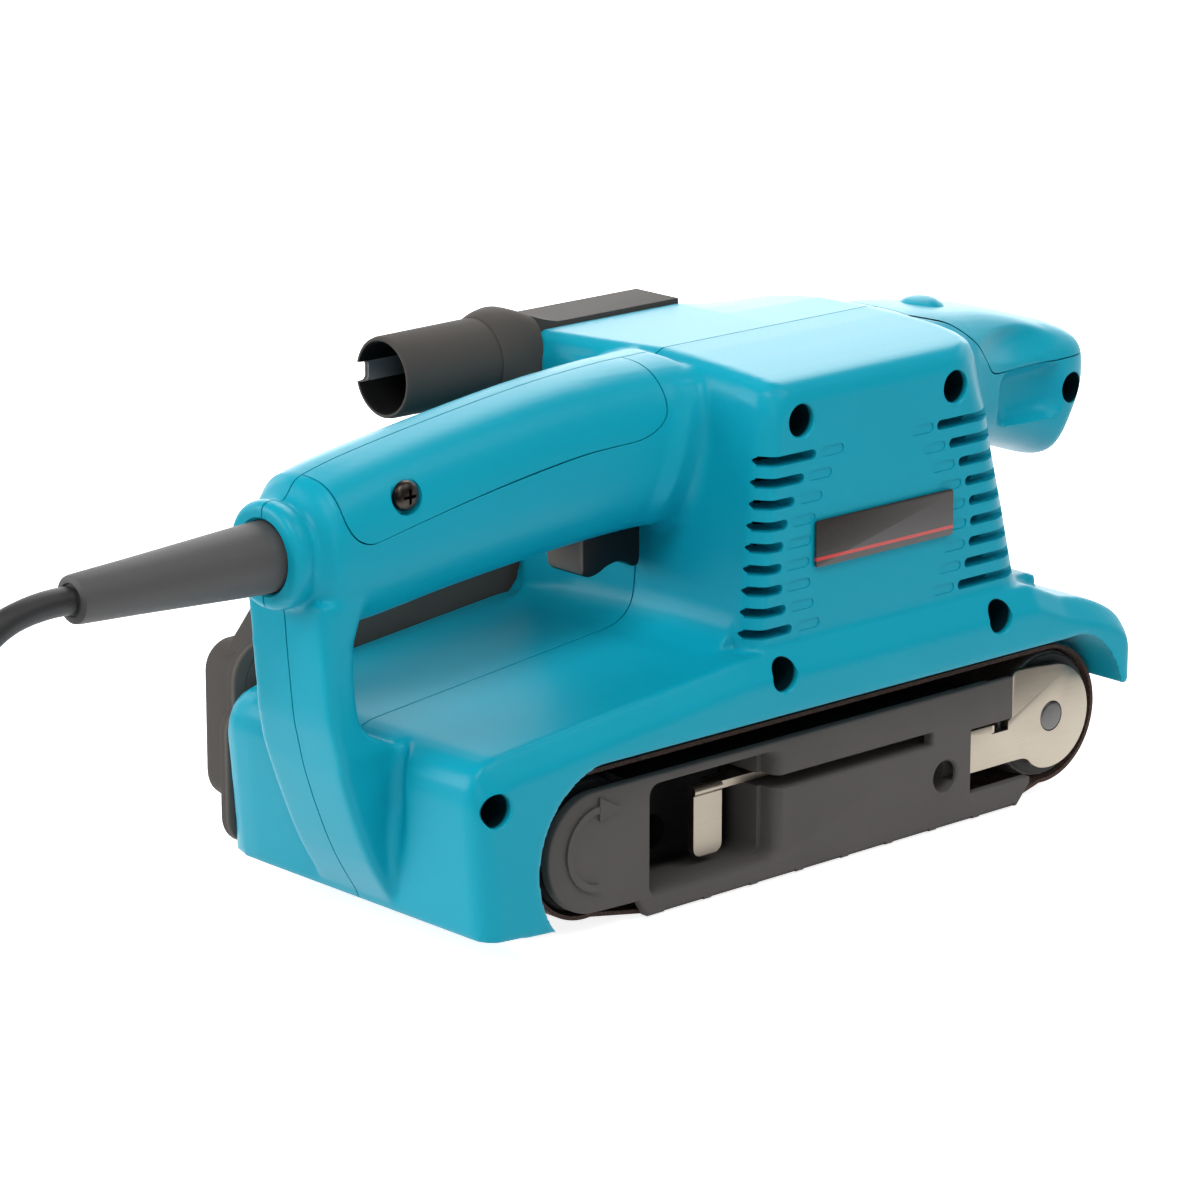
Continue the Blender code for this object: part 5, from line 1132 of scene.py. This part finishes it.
BELT_RINGS = ((19.4, 0.0, BELT[0]), (19.4, 0.0, BELT[1]), (18.3, 1.1, BELT[1]),
              (18.3, 1.1, BELT[0]))
belt_form = bmesh.new()
belt_rings = [ring(belt_form, upright(belt_loop(radius, low), y)) for radius, low, y in BELT_RINGS]
for first, second in zip(belt_rings, belt_rings[1:] + belt_rings[:1]):
    bmesh.ops.bridge_loops(belt_form, edges=first + second)
bmesh.ops.recalc_face_normals(belt_form, faces=belt_form.faces)
piece(belt_form, "abrasive_belt", finish_of("abrasive_cloth", abrasive_cloth), "sander",
      "abrasive_cloth", "sanding_belt")

# ---- sole and rollers
# A steel sheet on a cork pad backs the flat run. The rear roller is rubber on a steel shaft and
# is driven; the front one is turned aluminium on a bronze sleeve.


def plain_steel(place):
    drawn = place.stretched(0.35, 1.0, 7.0).noise(260.0, 4.0)
    return plain(0.5 * place.noise(45.0, 3.0) + 0.5 * drawn, (0.26, 0.228, 0.185),
                 (0.38, 0.335, 0.275), drawn, 0.30, 0.16, (0.06, 0.0001), Metallic=1.0)


def cork(place):
    crumb = place.cells(420.0)
    dust = place.noise(900.0, 3.0)
    return {"Base Color": crumb.step(0.2, 0.8).between((0.20, 0.115, 0.055), (0.40, 0.26, 0.14)),
            "Roughness": 0.85 + 0.1 * dust, "Normal": (crumb + dust).bump(0.4, 0.0003)}


roller_rubber = grained((0.005, 0.005, 0.005), (0.010, 0.010, 0.010), (1300.0, 3.0), 0.65, 0.2,
                        (0.2, 0.0002), tone=(60.0, 3.0), **{"Specular IOR Level": 0.2})
aluminium = grained((0.50, 0.50, 0.50), (0.66, 0.66, 0.66), (120.0,), 0.26, 0.18, (0.08, 0.0001),
                    stretch=(0.2, 30.0, 0.2), Metallic=1.0)
steel = finish_of("plain_steel", plain_steel)
bright_aluminium = finish_of("aluminium", aluminium)
dress(steel, "sole_plate", "drive_shaft", "drive_bearing_left")
dress(finish_of("cork", cork), "sole_pad")
dress(brass_finish, "drive_bush_right", "front_bush")


def crowned(bore_r):
    low, high = BELT[0] + 0.4, BELT[1] - 0.4
    return [(bore_r, low), (bore_r, high), (16.6, high), (17.2, high - 0.6), (17.7, high - 3),
            (18.0, high - 7), (18.0, low + 7), (17.7, low + 3), (17.2, low + 0.6), (16.6, low)]


piece(turned(crowned(4.3), "Y", REAR_AXIS, 72), "rubber_roller",
      finish_of("roller_rubber", roller_rubber), "drive", "roller_rubber", "drive_roller")


def dull_roller(place):
    """Turned aluminium whose ends, past the belt's edges, are near black, rough and not metal."""
    paint = aluminium(place)
    inner = place.axis(1).step(-0.0378, -0.0370) - place.axis(1).step(0.0362, 0.0370)
    paint["Base Color"] = inner.between((0.012, 0.011, 0.010), paint["Base Color"])
    paint["Metallic"] = inner
    paint["Roughness"] = 0.75 - 0.4 * inner
    return paint


piece(turned(crowned(8.0), "Y", FRONT_AXIS, 72), "turned_roller",
      finish_of("dull_roller", dull_roller), "front_roller", "aluminium", "front_roller")

# ---- roller arm and axle
# A pressed steel bracket that holds the front roller's axle and slides in the frame, pushed out
# by a spring on its rod. The axle's end shows on the right.

ARM_OUT, ARM_IN = -40.7, -38.9


def arm_side(rear):
    head = [(65.8, 25.6), (65.8, 36.4), (66.2, 37.6), (67.2, 38.3), (68.6, 38.4), (75.0, 38.1)]
    foot = along([(77.13, 9.01), (74.6, 10.4), (72.6, 12.2), (70.4, 12.9), (67.0, 13.0)], 4)
    return ([(rear, 13.0), (rear, 24.4), (rear + 0.6, 25.0), (65.0, 25.0)] + head
            + bow(FRONT_X, AXLE_Z, 14.6, 88, -108, 56)[:-1] + [tuple(p) for p in foot])


arm = as_tool(rimmed(arm_side(46.6), ARM_OUT, ARM_IN, 0.35), "arm")
carve(arm, box_form(58.4, 64.6, ARM_OUT - 1, ARM_IN + 1, 22.4, 26.0))
rod_profile = [(0.0, 58.6), (3.0, 58.6), (3.0, 40.0), (6.5, 40.0), (6.5, 37.0), (3.0, 37.0),
               (3.0, 0.6), (2.4, 0.0), (0.0, 0.0)]
join(arm, rimmed(arm_side(57.2), 38.1, 39.9, 0.35),
     box_form(57.2, 59.6, ARM_OUT + 0.4, 39.5, 13.4, 24.6), turned(rod_profile, "X", ROD))
carve(arm, bore("Y", FRONT_AXIS, 4.25, -60.0, 60.0))
presented(arm, "roller_bracket", steel, "carriage", "plain_steel", "roller_arm")

axle_steel = grained((0.085, 0.085, 0.085), (0.14, 0.138, 0.135), (600.0, 3.0), 0.38, 0.16,
                     (0.1, 0.0001), Metallic=1.0)
axle_profile = [(0.0, 40.2), (3.6, 40.2), (4.0, 39.8), (4.0, -40.6), (3.7, -40.9), (3.3, -41.0),
                (0.0, -41.0)]
piece(turned(axle_profile, "Y", FRONT_AXIS), "roller_axle", finish_of("axle_steel", axle_steel),
      "carriage", "blackened_steel", "front_axle")

# ---- tension lever, spring and tracking knob
# A strip of sheet steel on an upright pin slackens the belt; its end is folded down into a finger
# tab. The scalloped knob on the left leans the front roller.


def folded_lever():
    """The strip with the tab bent down from its rear end, round lower corners on the tab."""
    strip = ([(-37.0, -33.0), (38.0, -33.0)] + bow(38.0, -30.0, 4.6, -70, 70, 14)
             + [(38.0, -27.0), (-37.0, -27.0)])
    made = as_tool(lofted([[(x, y, z) for x, y in strip] for z in (25.4, 27.4)]), "lever")
    tab_side = rounded(-45.0, -35.0, 8.6, 27.3, 2.4)
    tab = lofted([upright(tab_side, y) for y in (-33.0, -32.8, -31.2, -31.0)])
    roll = [(0.0, -35.05), (1.55, -35.05), (1.55, -44.95), (0.0, -44.95)]
    join(made, tab, turned(roll, "X", (0.0, -32.0, 26.2), 28))
    carve(made, bore("Z", LEVER_PIN, 2.3, 10.0, 40.0))
    return made


presented(folded_lever(), "belt_lever", steel, "tension_lever", "plain_steel", "tension_lever")
dress(dark_steel, "lever_pin")


def wound_spring(name, spot, axis, radius, wire, turns, low, high, node):
    """A wound wire spring: a bevelled curve made into a mesh."""
    line = bpy.data.curves.new(name, "CURVE")
    line.dimensions = "3D"
    line.bevel_depth = wire * MM
    line.bevel_resolution = 4
    line.use_fill_caps = True
    count = turns * 24
    path = line.splines.new("POLY")
    path.points.add(count)
    for i, knot in enumerate(path.points):
        turn, far = 2 * pi * turns * i / count, low + (high - low) * i / count
        place = {"X": (far, spot[0] + radius * cos(turn), spot[1] + radius * sin(turn)),
                 "Z": (spot[0] + radius * cos(turn), spot[1] + radius * sin(turn), far)}[axis]
        knot.co = (*(Vector(place) * MM), 1.0)
    drawn = linked("drawn", line)
    mesh = seen_mesh(drawn)
    bpy.data.objects.remove(drawn, do_unlink=True)
    mesh.name = name
    mesh.shade_smooth()
    mesh.materials.clear()
    mesh.materials.append(steel)
    made = linked(name, mesh)
    return place_on(made, "sander", "plain_steel", node)


belt_spring = wound_spring("belt_spring", ROD[1:], "X", radius=5.5, wire=0.9, turns=5, low=5.3,
                           high=35.8, node="tension_spring")
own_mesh(belt_spring)
switch_spring = wound_spring("switch_spring", (-50.0, 0.0), "Z", radius=3.0, wire=0.5, turns=2,
                             low=96.9, high=100.0, node="trigger_spring")
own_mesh(switch_spring)

knob_profile = [(0.0, 60.7), (4.6, 60.7), (5.2, 61.3), (6.6, 61.3), (7.4, 61.0), (8.0, 60.2),
                (8.0, 52.9), (7.6, 52.3), (2.5, 52.3), (2.5, 40.6), (0.0, 40.6)]
knob = as_tool(turned(knob_profile, "Y", KNOB, 96), "knob")
for i in range(8):
    turn = 2 * pi * i / 8
    spot = (KNOB[0] + 9.1 * cos(turn), 0.0, KNOB[2] + 9.1 * sin(turn))
    carve(knob, bore("Y", spot, 1.9, 53.8, 64.0, 24))
presented(knob, "belt_tracking_knob", black_finish, "tracking_knob", "black_moulding",
          "tracking_knob")

# ---- motor and drive
# A mains motor across the tool: stacked iron with copper windings, a shaft in two bearings,
# carbon brushes in brass boxes, a dust fan, and ribbed pulleys with a rubber band between them.


def laminated_iron(place):
    level = place.stretched(1.0, 1300.0, 1.0).axis(1)
    sheets = level.math("SINE", level)
    stain = place.noise(120.0, 3.0)
    return {"Base Color": stain.between((0.17, 0.17, 0.18), (0.28, 0.275, 0.27)), "Metallic": 0.8,
            "Roughness": 0.44 + 0.12 * stain, "Normal": sheets.bump(0.3, 0.0002)}


copper = grained((0.42, 0.15, 0.07), (0.72, 0.33, 0.17), (900.0,), 0.26, 0.2, (0.35, 0.0003),
                 stretch=(1.0, 0.15, 1.0), Metallic=1.0)
carbon = grained((0.014, 0.014, 0.015), (0.040, 0.040, 0.041), (800.0, 4.0), 0.62, 0.2,
                 (0.25, 0.0002))
band_rubber = grained((0.011, 0.011, 0.012), (0.024, 0.023, 0.023), (1100.0, 3.0), 0.60, 0.18,
                      (0.22, 0.0002))
dress(finish_of("iron_laminations", laminated_iron), "stator", "rotor_core")
dress(finish_of("copper", copper), "field_coil_front", "field_coil_rear", "commutator")
dress(steel, "rotor_shaft", "motor_bearing_right", "motor_bearing_left")
dress(brass_finish, "brush_holder_front", "brush_holder_rear")
dress(finish_of("carbon", carbon), "brush_front", "brush_rear")
dress(bright_aluminium, "motor_pulley", "driven_pulley")
dress(finish_of("band_rubber", band_rubber), "drive_belt")
dress(black_finish, "dust_fan", "switch_body")

# ---- trigger and lock button
# The trigger is a black moulding with a finger hollow that slides up into the handle; the lock
# button on the left holds it in.

rear_edge = [(-59.4, 96.0), (-60.4, 90.0), (-60.4, 84.0), (-59.4, 81.6), (-57.0, 80.4),
             (-53.8, 80.8), (-50.6, 82.2), (-47.0, 82.8), (-43.8, 82.0), (-41.4, 80.6),
             (-39.8, 81.0), (-39.2, 83.0)]
trigger_side = [tuple(p) for p in along(rear_edge, 4)] + [(-39.2, 93.0), (-40.8, 96.0)]


def trigger_black(place):
    """Black all over; the face towards the rear is a paler brown-grey."""
    rear_face = 1.0 - place.axis(0).step(-0.0597, -0.0590)
    return plain(rear_face, (0.005, 0.005, 0.006), (0.150, 0.122, 0.104), place.noise(2200.0), 0.30,
                 0.14, (0.08, 0.0002), **{"Specular IOR Level": 0.20})


piece(rimmed(trigger_side, -6.5, 6.5, 0.8, 4), "finger_trigger",
      finish_of("trigger_black", trigger_black), "trigger", "black_moulding", "trigger")
button_profile = [(0.0, 20.0), (2.4, 20.15), (3.3, 20.4), (3.8, 20.2), (4.2, 19.5), (4.2, 12.1),
                  (0.0, 12.1)]
piece(turned(button_profile, "Y", LOCK), "lock_on_button", black_finish, "lock_button",
      "black_moulding", "lock_button")
